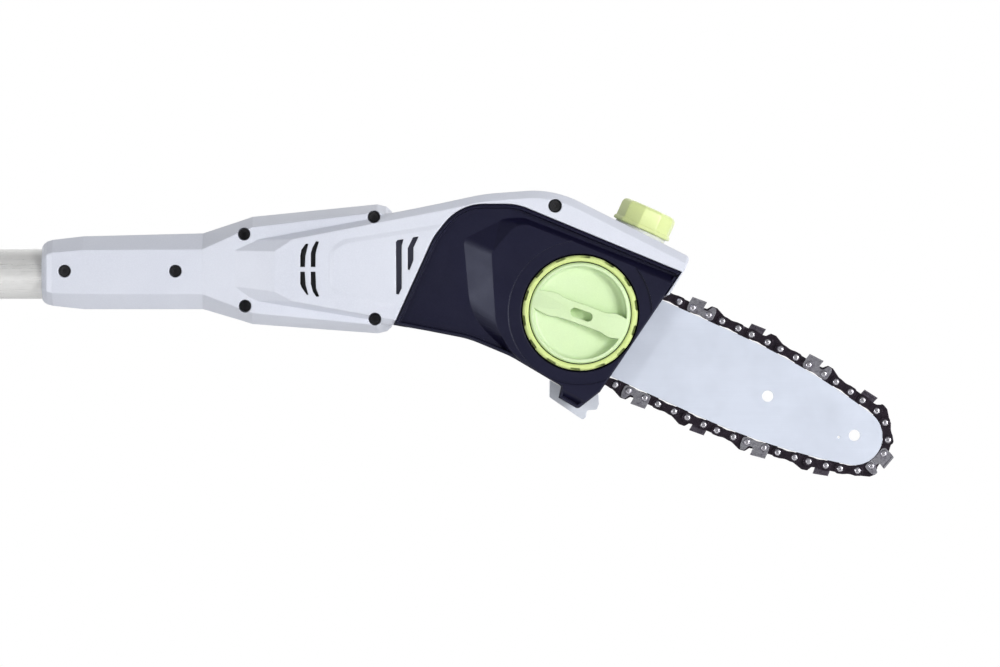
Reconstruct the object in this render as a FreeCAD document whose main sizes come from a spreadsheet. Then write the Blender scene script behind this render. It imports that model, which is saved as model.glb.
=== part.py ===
import FreeCAD, Part
import math
import os

# Telescoping pole saw, in millimetres.
# X runs along the pole towards the saw, Z is up, and the cover with the lock knob faces -Y.
# The origin is on the pole's axis where the pole enters the saw head.

Vector = FreeCAD.Vector
ALONG_X = Vector(1, 0, 0)
ALONG_Y = Vector(0, 1, 0)
ALONG_Z = Vector(0, 0, 1)

SIZES = [
    # pole
    ("tube_dia", 30.5),
    ("tube_wall", 1.5),
    ("tube_socket", 58),
    ("upper_tube_end", -820),
    ("lower_dia", 35),
    ("lower_wall", 1.5),
    ("lower_front", -222),
    ("lower_back", -898),
    ("bush_gap", 0.05),
    ("grip_dia", 46),
    ("grip_front", -420),
    ("grip_length", 190),
    # head
    ("shell_wall", 2.6),
    ("head_near", 36),
    ("head_far", 33),
    ("bar_floor", 12),
    ("floor_wall", 3),
    # bar and chain
    ("drive_x", 270.2),
    ("bar_tilt", 24.3),
    ("bar_plane", -17.5),
    ("bar_thickness", 3.2),
    ("groove_width", 1.35),
    ("groove_depth", 6.2),
    ("bar_half_width", 27.3),
    ("bar_taper_start", 150),
    ("nose_centre", 238.5),
    ("nose_radius", 17.2),
    ("rivet_offset", 3.4),
    ("drive_link_count", 31),
    ("drive_link_share", 0.453),
    ("link_thickness", 1.25),
    ("tooth_count", 6),
    # knob and cap
    ("knob_x", 322.8),
    ("knob_z", -23.9),
    ("ring_dia", 69),
    ("knob_dia", 60.6),
    ("cap_x", 359.2),
    ("cap_z", 25.2),
    ("cap_y", 4),
    ("cap_dia", 35.5),
    ("cap_height", 15),
    ("neck_dia", 26),
    # motor and gears
    ("motor_dia", 44),
    ("motor_start", 128),
    ("motor_length", 68),
    ("rotor_shaft_dia", 6),
    ("sprocket_shaft_dia", 8),
    ("bearing_dia", 22),
    ("bearing_width", 7),
    # clamp
    ("clamp_x", -232),
    ("clamp_bolt_z", -31),
    ("clamp_pin_y", -24),
    # handle
    ("handle_half_grip", 19),
    ("handle_half_base", 36),
    ("battery_bottom", -98),
    ("running_gap", 0.4),
]

document = FreeCAD.newDocument("pole_saw")
sheet = document.addObject("Spreadsheet::Sheet", "Sizes")
for row, (alias, value) in enumerate(SIZES, start=1):
    sheet.set("A%d" % row, alias)
    sheet.set("B%d" % row, str(value))
    sheet.setAlias("B%d" % row, alias)
document.recompute()

sub_parts = []


def size(alias):
    """A driving dimension read from the sheet."""
    return float(sheet.get(alias))


def keep(thing, label):
    """Name an object and put it on the list of sub-parts that are written out."""
    thing.Label = label
    sub_parts.append(thing)
    return thing


# ---------------------------------------------------------------- outlines

def outline(corners):
    """Closed outline in the sketch plane. Each corner is (a, b) or (a, b, radius)."""
    count = len(corners)
    starts = []
    ends = []
    arcs = []
    for index, corner in enumerate(corners):
        here = Vector(corner[0], corner[1], 0)
        before = Vector(corners[index - 1][0], corners[index - 1][1], 0)
        after = Vector(corners[(index + 1) % count][0], corners[(index + 1) % count][1], 0)
        radius = corner[2] if len(corner) > 2 else 0
        back = (before - here).normalize()
        ahead = (after - here).normalize()
        if radius == 0:
            starts.append(here)
            ends.append(here)
            continue
        half = back.getAngle(ahead) / 2
        reach = radius / math.tan(half)
        inward = (back + ahead).normalize()
        middle = here + inward * (radius / math.sin(half) - radius)
        starts.append(here + back * reach)
        ends.append(here + ahead * reach)
        arcs.append(Part.Arc(starts[-1], middle, ends[-1]))
    lines = []
    for index in range(count):
        end = ends[index]
        start = starts[(index + 1) % count]
        if end.distanceToPoint(start) > 1e-6:
            lines.append(Part.LineSegment(end, start))
    return lines + arcs


def circle(a, b, radius):
    """One round outline in the sketch plane."""
    return [Part.Circle(Vector(a, b, 0), Vector(0, 0, 1), radius)]


def face_of(geometry):
    """Flat face in the XZ plane bounded by a sketch-plane outline."""
    edges = [piece.toShape() for piece in geometry]
    wire = Part.Wire(Part.__sortEdges__(edges))
    wire.rotate(Vector(0, 0, 0), ALONG_X, 90)
    return Part.Face(wire)


def prism(geometry, y_from, y_to):
    """Solid whose side view is the outline, between two Y planes."""
    face = face_of(geometry)
    face.translate(Vector(0, y_from, 0))
    return face.extrude(Vector(0, y_to - y_from, 0))


def grown_prism(geometry, growth, y_from, y_to):
    """Like prism, with the outline moved outwards by growth."""
    face = face_of(geometry).makeOffset2D(growth, 2)
    face.translate(Vector(0, y_from, 0))
    return face.extrude(Vector(0, y_to - y_from, 0))


# ---------------------------------------------------------------- object builders

def bound(thing, **expressions):
    """Bind properties of an object to the sheet."""
    for name, expression in expressions.items():
        thing.setExpression(name.replace("__", "."), str(expression))
    return thing


def sketch_on(body, role, geometry, offset="0"):
    """Sketch on one of the body's own origin planes, moved along the plane's normal."""
    sketch = body.newObject("Sketcher::SketchObject", "outline")
    plane = [item for item in body.Origin.OriginFeatures if item.Role == role][0]
    sketch.AttachmentSupport = [(plane, "")]
    sketch.MapMode = "FlatFace"
    sketch.setExpression("AttachmentOffset.Base.z", offset)
    sketch.addGeometry(geometry)
    return sketch


def padded_body(label, role, geometry, offset, length):
    """Body with one padded outline. Offset and length are expressions of the sheet."""
    body = document.addObject("PartDesign::Body", label)
    pad = body.newObject("PartDesign::Pad", "pad")
    pad.Profile = sketch_on(body, role, geometry, offset)
    pad.setExpression("Length", length)
    document.recompute()
    return keep(body, label)


def pocketed(body, role, geometry, offset, length):
    """Cut an outline out of a body, along the plane's normal from the offset."""
    pocket = body.newObject("PartDesign::Pocket", "pocket")
    before = body.Shape.Volume
    pocket.Profile = sketch_on(body, role, geometry, offset)
    pocket.setExpression("Length", length)
    pocket.Reversed = True
    document.recompute()
    if body.Shape.Volume >= before - 1e-6:
        raise RuntimeError("pocket in " + body.Label + " cuts nothing")
    return pocket


def side_plate(label, geometry, y_from, y_to):
    """Body padded from the side outline, from y_from to y_to (y_to is the larger)."""
    return padded_body(label, "XZ_Plane", geometry, "-(%s)" % y_to, "(%s) - (%s)" % (y_to, y_from))


def side_cut(body, geometry, y_from, y_to):
    """Pocket through a side plate between two Y planes."""
    return pocketed(body, "XZ_Plane", geometry, "-(%s)" % y_to, "(%s) - (%s)" % (y_to, y_from))


def cylinder(name, radius, height, base, direction=ALONG_Z):
    """Part::Cylinder with its radius, height and base bound to the sheet."""
    thing = document.addObject("Part::Cylinder", name)
    thing.Placement.Rotation = FreeCAD.Rotation(ALONG_Z, direction)
    bound(thing, Radius=radius, Height=height)
    bound(thing, Placement__Base__x=base[0], Placement__Base__y=base[1], Placement__Base__z=base[2])
    return thing


def box(name, length, width, height, base):
    """Part::Box with its sizes and corner bound to the sheet."""
    thing = document.addObject("Part::Box", name)
    bound(thing, Length=length, Width=width, Height=height)
    bound(thing, Placement__Base__x=base[0], Placement__Base__y=base[1], Placement__Base__z=base[2])
    return thing


def cut(name, base, tool):
    """Part::Cut of two objects."""
    thing = document.addObject("Part::Cut", name)
    thing.Base = base
    thing.Tool = tool
    return thing


def fuse(name, *pieces):
    """Part::MultiFuse of several objects."""
    thing = document.addObject("Part::MultiFuse", name)
    thing.Shapes = list(pieces)
    return thing


def tube(name, outer, inner, length, base, direction=ALONG_X):
    """Round tube from two bound cylinders."""
    outside = cylinder(name + "_outside", outer, length, base, direction)
    inside = cylinder(name + "_inside", inner, length, base, direction)
    return cut(name, outside, inside)


def shaped(label, shape, placement=None):
    """Part::Feature for a free-form shape."""
    thing = document.addObject("Part::Feature", label)
    thing.Shape = shape
    if placement is not None:
        thing.Placement = placement
    return keep(thing, label)


def rod(radius, length, base, direction):
    """Plain cylinder shape, for groups of fasteners and for cutting tools."""
    return Part.makeCylinder(radius, length, base, direction)


# ---------------------------------------------------------------- head housing

# Octagonal sections of the rear of the housing:
# x, top, bottom, half width, top of side flat, bottom of side flat, half width of top flat.
REAR_SECTIONS = [
    (0.4, 17.5, -17.0, 18.5, 9, -9, 8),
    (5, 20.2, -19.5, 21.5, 12, -12, 10),
    (24, 22.4, -21.5, 23, 13, -12.5, 11),
    (96, 24.2, -21.6, 24, 14, -12, 11),
    (118, 31.7, -28.5, 29, 16, -12, 14),
    (133, 35.3, -32.0, 33.5, 23.3, -17.8, 16),
    (158, 37.6, -33.8, 36, 27.5, -22.5, 18),
    (204, 42.2, -36.6, 36, 35.3, -30, 20),
    (209, 38.4, -33.0, 33, 32, -27, 18),
]

# Side view of the front of the housing.
FRONT_OUTLINE = [
    (200, 36), (239, 42.2, 60), (284, 50.4, 26), (308, 49.6, 22), (388.6, 8.6, 4), (382.6, -1.6),
    (333.2, -71.4), (310.6, -67.4), (275.5, -46.7, 30), (246, -37, 30), (206, -31.5), (200, -31.5),
]

# Side view of the black cover over the sprocket.
COVER_OUTLINE = [
    (211, -30.4), (235.2, 22.4, 24), (250.4, 41.3, 22), (287, 41.3, 22), (383.9, 0.7, 2), (334.9, -71.5, 3),
    (321.5, -81.9, 4), (309.5, -74.9, 2), (311, -67.6, 2), (275.5, -46.7, 40), (254, -38.2, 30),
]

SCREW_PLACES = [(13.2, 1.3), (79.8, 1.3), (121.2, 23.5), (121.8, -19.7), (199.2, 33.7), (199.8, -27.5), (307.8, 40.3)]
SCREW_HEAD_DEPTH = [20.5, 20, 22, 22, 28, 28, 30]
BOSS_RADIUS = 5.2
BUMPER_SCREWS = (315, 326)
BUMPER_SCREW_Y = 8


def rear_loft(wall):
    """Rear of the housing, moved inwards by wall."""
    wires = []
    for x, top, bottom, half, flat_top, flat_bottom, top_half in REAR_SECTIONS:
        half_up = top - wall
        half_down = bottom + wall
        side = half - wall
        slope = wall * 0.4
        points = [
            (top_half - slope, half_up), (side, flat_top - slope), (side, flat_bottom + slope),
            (top_half - slope, half_down), (slope - top_half, half_down), (-side, flat_bottom + slope),
            (-side, flat_top - slope), (slope - top_half, half_up),
        ]
        ring = [Vector(x, y, z) for y, z in points]
        wires.append(Part.makePolygon(ring + ring[:1]))
    return Part.makeLoft(wires, True, True)


def housing_outer():
    """Whole outside of the housing."""
    front = prism(outline(FRONT_OUTLINE), -size("head_near"), size("head_far"))
    return rear_loft(0).fuse(front)


def housing_inner():
    """Whole cavity of the housing."""
    wall = size("shell_wall")
    front = grown_prism(outline(FRONT_OUTLINE), -wall, wall - size("head_near"), size("head_far") - wall)
    return rear_loft(wall).fuse(front)


def vent_slots(y_from, y_to):
    """Slots that let air past the motor, in the rear and in the front of the side wall."""
    slots = []
    for x in (157.5, 163.6):
        for low, high in ((3.6, 18.3), (-13.6, 0.8)):
            slots.append(Part.makeBox(2.9, y_to - y_from, high - low, Vector(x - 1.45, y_from, low)))
    for x, low in ((214.2, -12.5), (221.3, 2.2)):
        slots.append(Part.makeBox(2.9, y_to - y_from, 21 - low, Vector(x - 1.45, y_from, low)))
    return slots


def housing_half(label, near):
    """One half of the housing, split on the pole's axis."""
    reach = 500
    side = -1 if near else 1
    wall = size("shell_wall")
    floor = size("bar_floor")
    keep_box = Part.makeBox(reach, reach, reach, Vector(-50, -reach if near else 0, -reach / 2))
    whole = housing_outer().common(keep_box)
    cavity = housing_inner()
    if near:
        pocket_wall = grown_prism(outline(COVER_OUTLINE), wall, -reach, size("floor_wall") - floor)
        cavity = cavity.cut(pocket_wall)
    bosses = [rod(BOSS_RADIUS, 60, Vector(x, 0, z), Vector(0, side, 0)) for x, z in SCREW_PLACES]
    shape = whole.cut(cavity).fuse(Part.makeCompound(bosses).common(whole))
    if near:
        shape = shape.cut(prism(outline(COVER_OUTLINE), -reach, -floor))
        shape = shape.cut(rod(4, 30, Vector(size("knob_x"), -30, size("knob_z")), ALONG_Y))
        shape = shape.cut(rod(5, 30, Vector(size("drive_x"), -30, 0), ALONG_Y))
    sleeve = rod(size("tube_dia") / 2 + 3, size("tube_socket"), Vector(4, 0, 0), ALONG_X)
    socket = rod(size("tube_dia") / 2, size("tube_socket") + 10, Vector(-10, 0, 0), ALONG_X)
    shape = shape.fuse(sleeve.common(keep_box)).cut(socket)
    slots = vent_slots(-60, -4) if near else vent_slots(4, 60)
    shape = shape.cut(Part.makeCompound(slots))
    for (x, z), depth in zip(SCREW_PLACES, SCREW_HEAD_DEPTH):
        if near:
            shape = shape.cut(rod(3.5, 40, Vector(x, 3 - depth, z), Vector(0, -1, 0)))
        shape = shape.cut(rod(1.9, 40 if near else 9, Vector(x, 0, z), Vector(0, side, 0)))
    if not near:
        for x in BUMPER_SCREWS:
            shape = shape.cut(rod(1.8, 20, Vector(x, BUMPER_SCREW_Y, -76), ALONG_Z))
    shape = shape.cut(rod(size("neck_dia") / 2, 60, cap_point(-30), cap_direction()))
    return shaped(label, biggest_solid(shape))


def biggest_solid(shape):
    """The largest solid of a shape, without loose slivers."""
    return max(shape.Solids, key=lambda solid: solid.Volume)


def housing_screws():
    """Seven pan-head screws that close the housing from the cover's side."""
    screws = []
    for (x, z), depth in zip(SCREW_PLACES, SCREW_HEAD_DEPTH):
        head = rod(3.2, 2.2, Vector(x, 3 - depth, z), Vector(0, -1, 0))
        shank = rod(1.9, depth + 5, Vector(x, 8, z), Vector(0, -1, 0))
        recess = rod(1.4, 1.2, Vector(x, 3 - depth - 2.2, z), ALONG_Y)
        screws.append(head.fuse(shank).cut(recess))
    shaped("housing_screws", Part.makeCompound(screws))


# ---------------------------------------------------------------- pole

def pole_tubes():
    """Upper tube fixed in the head, lower tube that slides over it, and their guide bushes."""
    upper = tube("upper_pipe", "Sizes.tube_dia / 2", "Sizes.tube_dia / 2 - Sizes.tube_wall",
                 "Sizes.tube_socket - Sizes.upper_tube_end", ("Sizes.upper_tube_end", "0", "0"))
    screw_x, screw_z = SCREW_PLACES[0]
    hole = cylinder("screw_hole", "1.9", "30", (str(screw_x), "-25", str(screw_z)), ALONG_Y)
    keep(cut("upper_tube", upper, hole), "upper_tube")
    lower = tube("lower_tube", "Sizes.lower_dia / 2", "Sizes.lower_dia / 2 - Sizes.lower_wall",
                 "Sizes.lower_front - Sizes.lower_back", ("Sizes.lower_back", "0", "0"))
    keep(lower, "lower_tube")
    guide = tube("guide_bush", "Sizes.lower_dia / 2 - Sizes.lower_wall - Sizes.bush_gap", "Sizes.tube_dia / 2",
                 "40", ("Sizes.upper_tube_end", "0", "0"))
    keep(guide, "guide_bush")
    front = tube("front_bush", "Sizes.lower_dia / 2 - Sizes.lower_wall", "Sizes.tube_dia / 2 + Sizes.bush_gap",
                 "30", ("Sizes.lower_front - 30", "0", "0"))
    keep(front, "front_bush")


def mid_grip():
    """Rubber sleeve with grip rings for the front hand."""
    radius = size("grip_dia") / 2
    start = size("grip_front") - size("grip_length")
    length = size("grip_length")
    profile = [(start, size("lower_dia") / 2)]
    profile.append((start, radius - 3))
    profile.append((start + 6, radius + 2))
    ring_pitch = 14
    for ring in range(12):
        x = start + 12 + ring * ring_pitch
        profile.append((x, radius))
        profile.append((x + ring_pitch * 0.7, radius))
        profile.append((x + ring_pitch * 0.8, radius - 1.2))
    profile.append((start + length - 6, radius + 2))
    profile.append((start + length, radius - 3))
    profile.append((start + length, size("lower_dia") / 2))
    body = document.addObject("PartDesign::Body", "mid_grip")
    turn = body.newObject("PartDesign::Revolution", "turn")
    turn.Profile = sketch_on(body, "XZ_Plane", outline(profile))
    turn.ReferenceAxis = (turn.Profile[0], ["H_Axis"])
    turn.Angle = 360
    document.recompute()
    keep(body, "mid_grip")


def strap_clip():
    """Collar with an eye for the shoulder strap."""
    x = -350
    collar = rod(size("lower_dia") / 2 + 4, 16, Vector(x - 8, 0, 0), ALONG_X)
    plate = prism(outline([(x - 8, 10), (x - 8, 39, 7.9), (x + 8, 39, 7.9), (x + 8, 10)]), -3, 3)
    hole = rod(4, 20, Vector(x, -10, 31), ALONG_Y)
    inside = rod(size("lower_dia") / 2, 40, Vector(x - 20, 0, 0), ALONG_X)
    shaped("strap_clip", collar.fuse(plate).cut(hole).cut(inside))


def clamp():
    """Quick-release clamp at the front of the lower tube: collar, bolt, pin and lever."""
    x = size("clamp_x")
    bolt_z = size("clamp_bolt_z")
    pin_y = size("clamp_pin_y")
    gap = size("running_gap")
    front = size("lower_front") + 14
    collar = rod(25, 64, Vector(front - 64, 0, 0), ALONG_X)
    ears = prism(outline([(x - 12, 0), (x - 12, -39, 5), (x + 12, -39, 5), (x + 12, 0)]), -16.4, 16.4)
    lower_bore = rod(size("lower_dia") / 2, 60, Vector(size("lower_front") - 60, 0, 0), ALONG_X)
    upper_bore = rod(size("tube_dia") / 2 + gap, 30, Vector(size("lower_front") - 1, 0, 0), ALONG_X)
    split = Part.makeBox(90, 3, 60, Vector(front - 80, -1.5, -60))
    bolt_hole = rod(2.4, 60, Vector(x, -30, bolt_z), ALONG_Y)
    body = collar.fuse(ears).cut(lower_bore).cut(upper_bore).cut(split).cut(bolt_hole)
    shaped("clamp_collar", body)

    shank = rod(2.2, 42, Vector(x, pin_y, bolt_z), ALONG_Y)
    eye = rod(4.2, 4.4, Vector(x, pin_y, bolt_z - 2.2), ALONG_Z)
    nut = Part.makeBox(8, 4, 8, Vector(x - 4, 16.4, bolt_z - 4))
    pin_hole = rod(2, 20, Vector(x, pin_y, bolt_z - 10), ALONG_Z)
    shaped("clamp_bolt", shank.fuse(eye).fuse(nut).cut(pin_hole))
    shaped("clamp_pin", rod(2, 13, Vector(x, pin_y, bolt_z - 6.5), ALONG_Z))

    cam = rod(7, 13, Vector(x, pin_y, bolt_z - 6.5), ALONG_Z)
    arm = plan_prism(outline([
        (x, pin_y + 3), (x - 14, pin_y + 1), (x - 62, pin_y + 1, 60), (x - 78, pin_y - 3, 2),
        (x - 77, pin_y - 7, 2), (x - 58, pin_y - 5, 40), (x, pin_y - 7),
    ]), bolt_z - 6.5, 13)
    slot = Part.makeBox(16.4, 30, 5, Vector(x - 8.2, pin_y - 15, bolt_z - 2.5))
    pin_bore = rod(2 + size("bush_gap"), 30, Vector(x, pin_y, bolt_z - 15), ALONG_Z)
    shaped("clamp_lever", cam.fuse(arm).cut(slot).cut(pin_bore))


def plan_prism(geometry, z_from, height):
    """Solid whose plan view is the outline."""
    edges = [piece.toShape() for piece in geometry]
    face = Part.Face(Part.Wire(Part.__sortEdges__(edges)))
    face.translate(Vector(0, 0, z_from))
    return face.extrude(Vector(0, 0, height))


# ---------------------------------------------------------------- motor and gears

def motor():
    """Motor can, end cap, rotor, fan and pinion on the pole's axis."""
    can = tube("motor_can", "Sizes.motor_dia / 2", "Sizes.motor_dia / 2 - 4", "Sizes.motor_length",
               ("Sizes.motor_start", "0", "0"))
    keep(can, "motor_can")
    cap = tube("motor_end_cap", "Sizes.motor_dia / 2", "Sizes.rotor_shaft_dia / 2 + Sizes.bush_gap", "3",
               ("Sizes.motor_start + Sizes.motor_length", "0", "0"))
    keep(cap, "motor_end_cap")
    core = cylinder("rotor_core", "Sizes.motor_dia / 2 - 5", "Sizes.motor_length - 16",
                    ("Sizes.motor_start + 8", "0", "0"), ALONG_X)
    shaft = cylinder("rotor_shaft", "Sizes.rotor_shaft_dia / 2", "136", ("120", "0", "0"), ALONG_X)
    keep(fuse("motor_rotor", core, shaft), "motor_rotor")

    hub = rod(6, 7, Vector(201.5, 0, 0), ALONG_X)
    disc = rod(21.5, 1.5, Vector(201.5, 0, 0), ALONG_X)
    blades = []
    for index in range(9):
        blade = Part.makeBox(6, 1.4, 14, Vector(202.5, -0.7, 7))
        blade.rotate(Vector(205, 0, 14), ALONG_Z, 25)
        blade.rotate(Vector(0, 0, 0), ALONG_X, index * 360 / 9)
        blades.append(blade)
    fan = disc.fuse([hub] + blades)
    fan = fan.common(rod(21.5, 7, Vector(201.5, 0, 0), ALONG_X))
    fan = fan.cut(rod(size("rotor_shaft_dia") / 2, 30, Vector(190, 0, 0), ALONG_X))
    shaped("cooling_fan", fan)

    pinion = toothed_wheel(10, 6.4, 8, 10)
    pinion = pinion.cut(rod(size("rotor_shaft_dia") / 2, 30, Vector(0, 0, -10), ALONG_Z))
    shaped("drive_pinion", pinion, FreeCAD.Placement(Vector(245, 0, 0), FreeCAD.Rotation(ALONG_Z, ALONG_X)))


def toothed_wheel(teeth, root_radius, tip_radius, thickness):
    """Flat wheel about Z with trapezoid teeth."""
    step = 2 * math.pi / teeth
    points = []
    for tooth in range(teeth):
        for share, radius in ((-0.3, root_radius), (-0.16, tip_radius), (0.16, tip_radius), (0.3, root_radius)):
            angle = (tooth + share) * step
            points.append((radius * math.cos(angle), radius * math.sin(angle)))
    return plan_prism(outline(points), 0, thickness)


def sprocket_drive():
    """Shaft across the head with bevel gear, sprocket, clip, two bearings and their holders."""
    x = size("drive_x")
    shaft_radius = size("sprocket_shaft_dia") / 2
    bearing_radius = size("bearing_dia") / 2
    width = size("bearing_width")
    near_bearing = size("floor_wall") - size("bar_floor")
    far_bearing = 19
    shaft = cylinder("sprocket_shaft", "Sizes.sprocket_shaft_dia / 2", "50", ("Sizes.drive_x", "-24.5", "0"), ALONG_Y)
    keep(shaft, "sprocket_shaft")

    rings = []
    for y in (near_bearing, far_bearing):
        ring = rod(bearing_radius, width, Vector(x, y, 0), ALONG_Y)
        bore = rod(shaft_radius + size("bush_gap"), width, Vector(x, y, 0), ALONG_Y)
        groove = rod(bearing_radius - 2, 1, Vector(x, y, 0), ALONG_Y)
        groove = groove.cut(rod(shaft_radius + 2, 1, Vector(x, y, 0), ALONG_Y))
        rings.append(ring.cut(bore).cut(groove))
    shaped("shaft_bearings", Part.makeCompound(rings))

    plate = prism(outline([(258, -26, 3), (258, 26, 3), (290, 26, 3), (290, -26, 3)]), near_bearing, near_bearing + 3)
    plate = plate.cut(rod(bearing_radius, 40, Vector(x, -30, 0), ALONG_Y))
    shaped("bearing_plate", plate)
    bracket = prism(outline([(245, -18, 3), (245, 18, 3), (296, 18, 3), (296, -18, 3)]), far_bearing, far_bearing + 6)
    bracket = bracket.cut(rod(bearing_radius, 40, Vector(x, 0, 0), ALONG_Y))
    shaped("bearing_bracket", bracket)

    disc = Part.makeCone(27, 22, 6).cut(rod(shaft_radius, 20, Vector(0, 0, -5), ALONG_Z))
    disc.translate(Vector(0, 0, 2))
    teeth = []
    tooth_total = 30
    for index in range(tooth_total):
        tooth = Part.makeBox(10, 2.4, 2.4, Vector(16, -1.2, 0))
        tooth.rotate(Vector(0, 0, 0), ALONG_Z, index * 360 / tooth_total)
        teeth.append(tooth)
    gear = disc.fuse(teeth).common(rod(27, 10, Vector(0, 0, 0), ALONG_Z))
    shaped("bevel_gear", gear, FreeCAD.Placement(Vector(x, 8.6, 0), FreeCAD.Rotation(ALONG_Z, ALONG_Y)))

    clip = rod(7, 1.2, Vector(x, -23, 0), ALONG_Y)
    clip = clip.cut(rod(shaft_radius, 20, Vector(x, -30, 0), ALONG_Y))
    shaped("sprocket_clip", clip)


# ---------------------------------------------------------------- bar and chain

def bar_placement():
    """Frame of the bar: x along the bar, z across it, y through its thickness."""
    return FreeCAD.Placement(Vector(size("drive_x"), size("bar_plane"), 0), FreeCAD.Rotation(ALONG_Y, size("bar_tilt")))


def place_on_bar(thing):
    """Give an object the bar's frame, bound to the sheet."""
    thing.Placement = bar_placement()
    bound(thing, Placement__Base__x="Sizes.drive_x", Placement__Base__y="Sizes.bar_plane",
          Placement__Rotation__Angle="Sizes.bar_tilt")


def flank_radius(offset):
    """Radius of the long arc between the straight rail and the nose, offset outwards."""
    run = size("nose_centre") - size("bar_taper_start")
    half = size("bar_half_width")
    nose = size("nose_radius")
    return (run ** 2 + half ** 2 - nose ** 2) / (2 * (half - nose)) + offset


def bar_outline(offset):
    """Rail outline from the bar's tail round the nose, grown by offset."""
    start = size("bar_taper_start")
    half = size("bar_half_width") + offset
    nose_x = size("nose_centre")
    nose = size("nose_radius") + offset
    radius = flank_radius(offset)
    centre = Vector(start, half - radius, 0)
    lean = math.atan2(nose_x - start, -centre.y)
    touch = Vector(nose_x + nose * math.sin(lean), nose * math.cos(lean), 0)
    middle = centre + Vector(radius * math.sin(lean / 2), radius * math.cos(lean / 2), 0)
    mirrored = [Vector(point.x, -point.y, 0) for point in (middle, touch)]
    flank = Part.Arc(Vector(start, half, 0), middle, touch)
    tip = Part.Arc(touch, Vector(nose_x + nose, 0, 0), mirrored[1])
    lower = Part.Arc(mirrored[1], mirrored[0], Vector(start, -half, 0))
    return [flank, tip, lower]


TAIL_X = 36
PIN_X = 64
PIN_Z = 15


def bar_blank(inset):
    """Closed outline of the bar, moved inwards by inset along its rails."""
    half = size("bar_half_width") - inset
    start = size("bar_taper_start")
    tail_half = half - 14
    shoulder = TAIL_X + 34
    corners = [
        Vector(start, -half, 0), Vector(shoulder, -half, 0), Vector(TAIL_X, -tail_half, 0),
        Vector(TAIL_X, tail_half, 0), Vector(shoulder, half, 0), Vector(start, half, 0),
    ]
    tail = [Part.LineSegment(a, b) for a, b in zip(corners, corners[1:])]
    return bar_outline(-inset) + tail


def guide_bar():
    """Bar of two side plates on a smaller core, so that a groove runs round its edge."""
    bar = side_plate("guide_bar", bar_blank(size("groove_depth")), "-Sizes.groove_width / 2", "Sizes.groove_width / 2")
    for offset in ("-Sizes.bar_thickness / 2", "Sizes.groove_width / 2"):
        pad = bar.newObject("PartDesign::Pad", "side_plate")
        pad.Profile = sketch_on(bar, "XZ_Plane", bar_blank(0), offset)
        pad.setExpression("Length", "(Sizes.bar_thickness - Sizes.groove_width) / 2")
        document.recompute()
    through = ("-Sizes.bar_thickness", "Sizes.bar_thickness")
    slot = outline([(42, -4.2, 4.19), (42, 4.2, 4.19), (84, 4.2, 4.19), (84, -4.2, 4.19)])
    side_cut(bar, slot, *through)
    side_cut(bar, circle(181.3, 0.8, 3.4), *through)
    side_cut(bar, circle(size("nose_centre"), 0.8, 3.4), *through)
    side_cut(bar, circle(230.3, -4.1, 0.8), *through)
    side_cut(bar, circle(PIN_X, PIN_Z, 2.5), *through)
    place_on_bar(bar)
    shaped("tension_pin", rod(2.5, 7, Vector(PIN_X, -4, PIN_Z), ALONG_Y), bar_placement())


def chain_path():
    """Closed line through the chain's rivets: sprocket, upper rail, nose and lower rail."""
    wrap = sprocket_pitch_radius()
    half = size("bar_half_width") + size("rivet_offset")
    start = size("bar_taper_start")
    rise = math.atan2(half - wrap, TAIL_X + 14)
    leave = Vector(-wrap * math.sin(rise) * 0.4, wrap * math.cos(rise * 0.4), 0)
    leave = leave * (wrap / leave.Length)
    low_leave = Vector(leave.x, -leave.y, 0)
    entry = Vector(TAIL_X + 30, half, 0)
    low_entry = Vector(TAIL_X + 30, -half, 0)
    edges = [
        Part.Arc(low_leave, Vector(-wrap, 0, 0), leave),
        Part.LineSegment(leave, entry),
        Part.LineSegment(entry, Vector(start, half, 0)),
    ]
    edges += bar_outline(size("rivet_offset"))
    edges += [
        Part.LineSegment(Vector(start, -half, 0), low_entry),
        Part.LineSegment(low_entry, low_leave),
    ]
    return Part.Wire([edge.toShape() for edge in edges])


def sprocket_pitch_radius():
    """Radius of the rivet line on the sprocket."""
    return 17.9


def rivet_places():
    """Rivet centres in order, in pairs: a drive link's two rivets, then the gap of a side link."""
    path = chain_path()
    pairs = int(size("drive_link_count"))
    step = path.Length / pairs
    inside = step * size("drive_link_share")
    dense = path.discretize(Number=2400)
    run = [0.0]
    for index in range(1, len(dense)):
        run.append(run[-1] + dense[index].distanceToPoint(dense[index - 1]))
    anchor = next(at for at, point in zip(run, dense) if point.y > 20 and point.x > 113.7)
    places = []
    for pair in range(pairs):
        middle = anchor + pair * step
        for shift in (-inside / 2, inside / 2):
            places.append(point_on(dense, run, (middle + shift) % run[-1]))
    return places


def point_on(dense, run, distance):
    """Point at a distance along a dense line."""
    low = 0
    high = len(run) - 1
    while high - low > 1:
        middle = (low + high) // 2
        if run[middle] <= distance:
            low = middle
        else:
            high = middle
    share = (distance - run[low]) / (run[high] - run[low])
    return dense[low] + (dense[high] - dense[low]) * share


def link_frame(first, second):
    """Placement of a link from its two rivets: x along travel, z outwards, y through the link."""
    along = second - first
    angle = math.degrees(math.atan2(along.y, along.x))
    middle = (first + second) * 0.5
    spin = FreeCAD.Rotation(ALONG_Y, -angle)
    return FreeCAD.Placement(Vector(middle.x, 0, middle.y), spin)


def drive_link(span):
    """Centre link with its tang."""
    half = span / 2
    return outline([
        (-half - 3.1, 2.2, 1.2), (-half - 3.1, -2.2, 1.2), (-half + 1.2, -3.2, 1), (-1.6, -8.2, 0.8),
        (1.2, -8.2, 0.6), (half - 0.4, -3.2, 1), (half + 3.1, -2.2, 1.2), (half + 3.1, 2.2, 1.2),
        (half - 1, 2.6, 1), (-half + 1, 2.6, 1),
    ])


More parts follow.
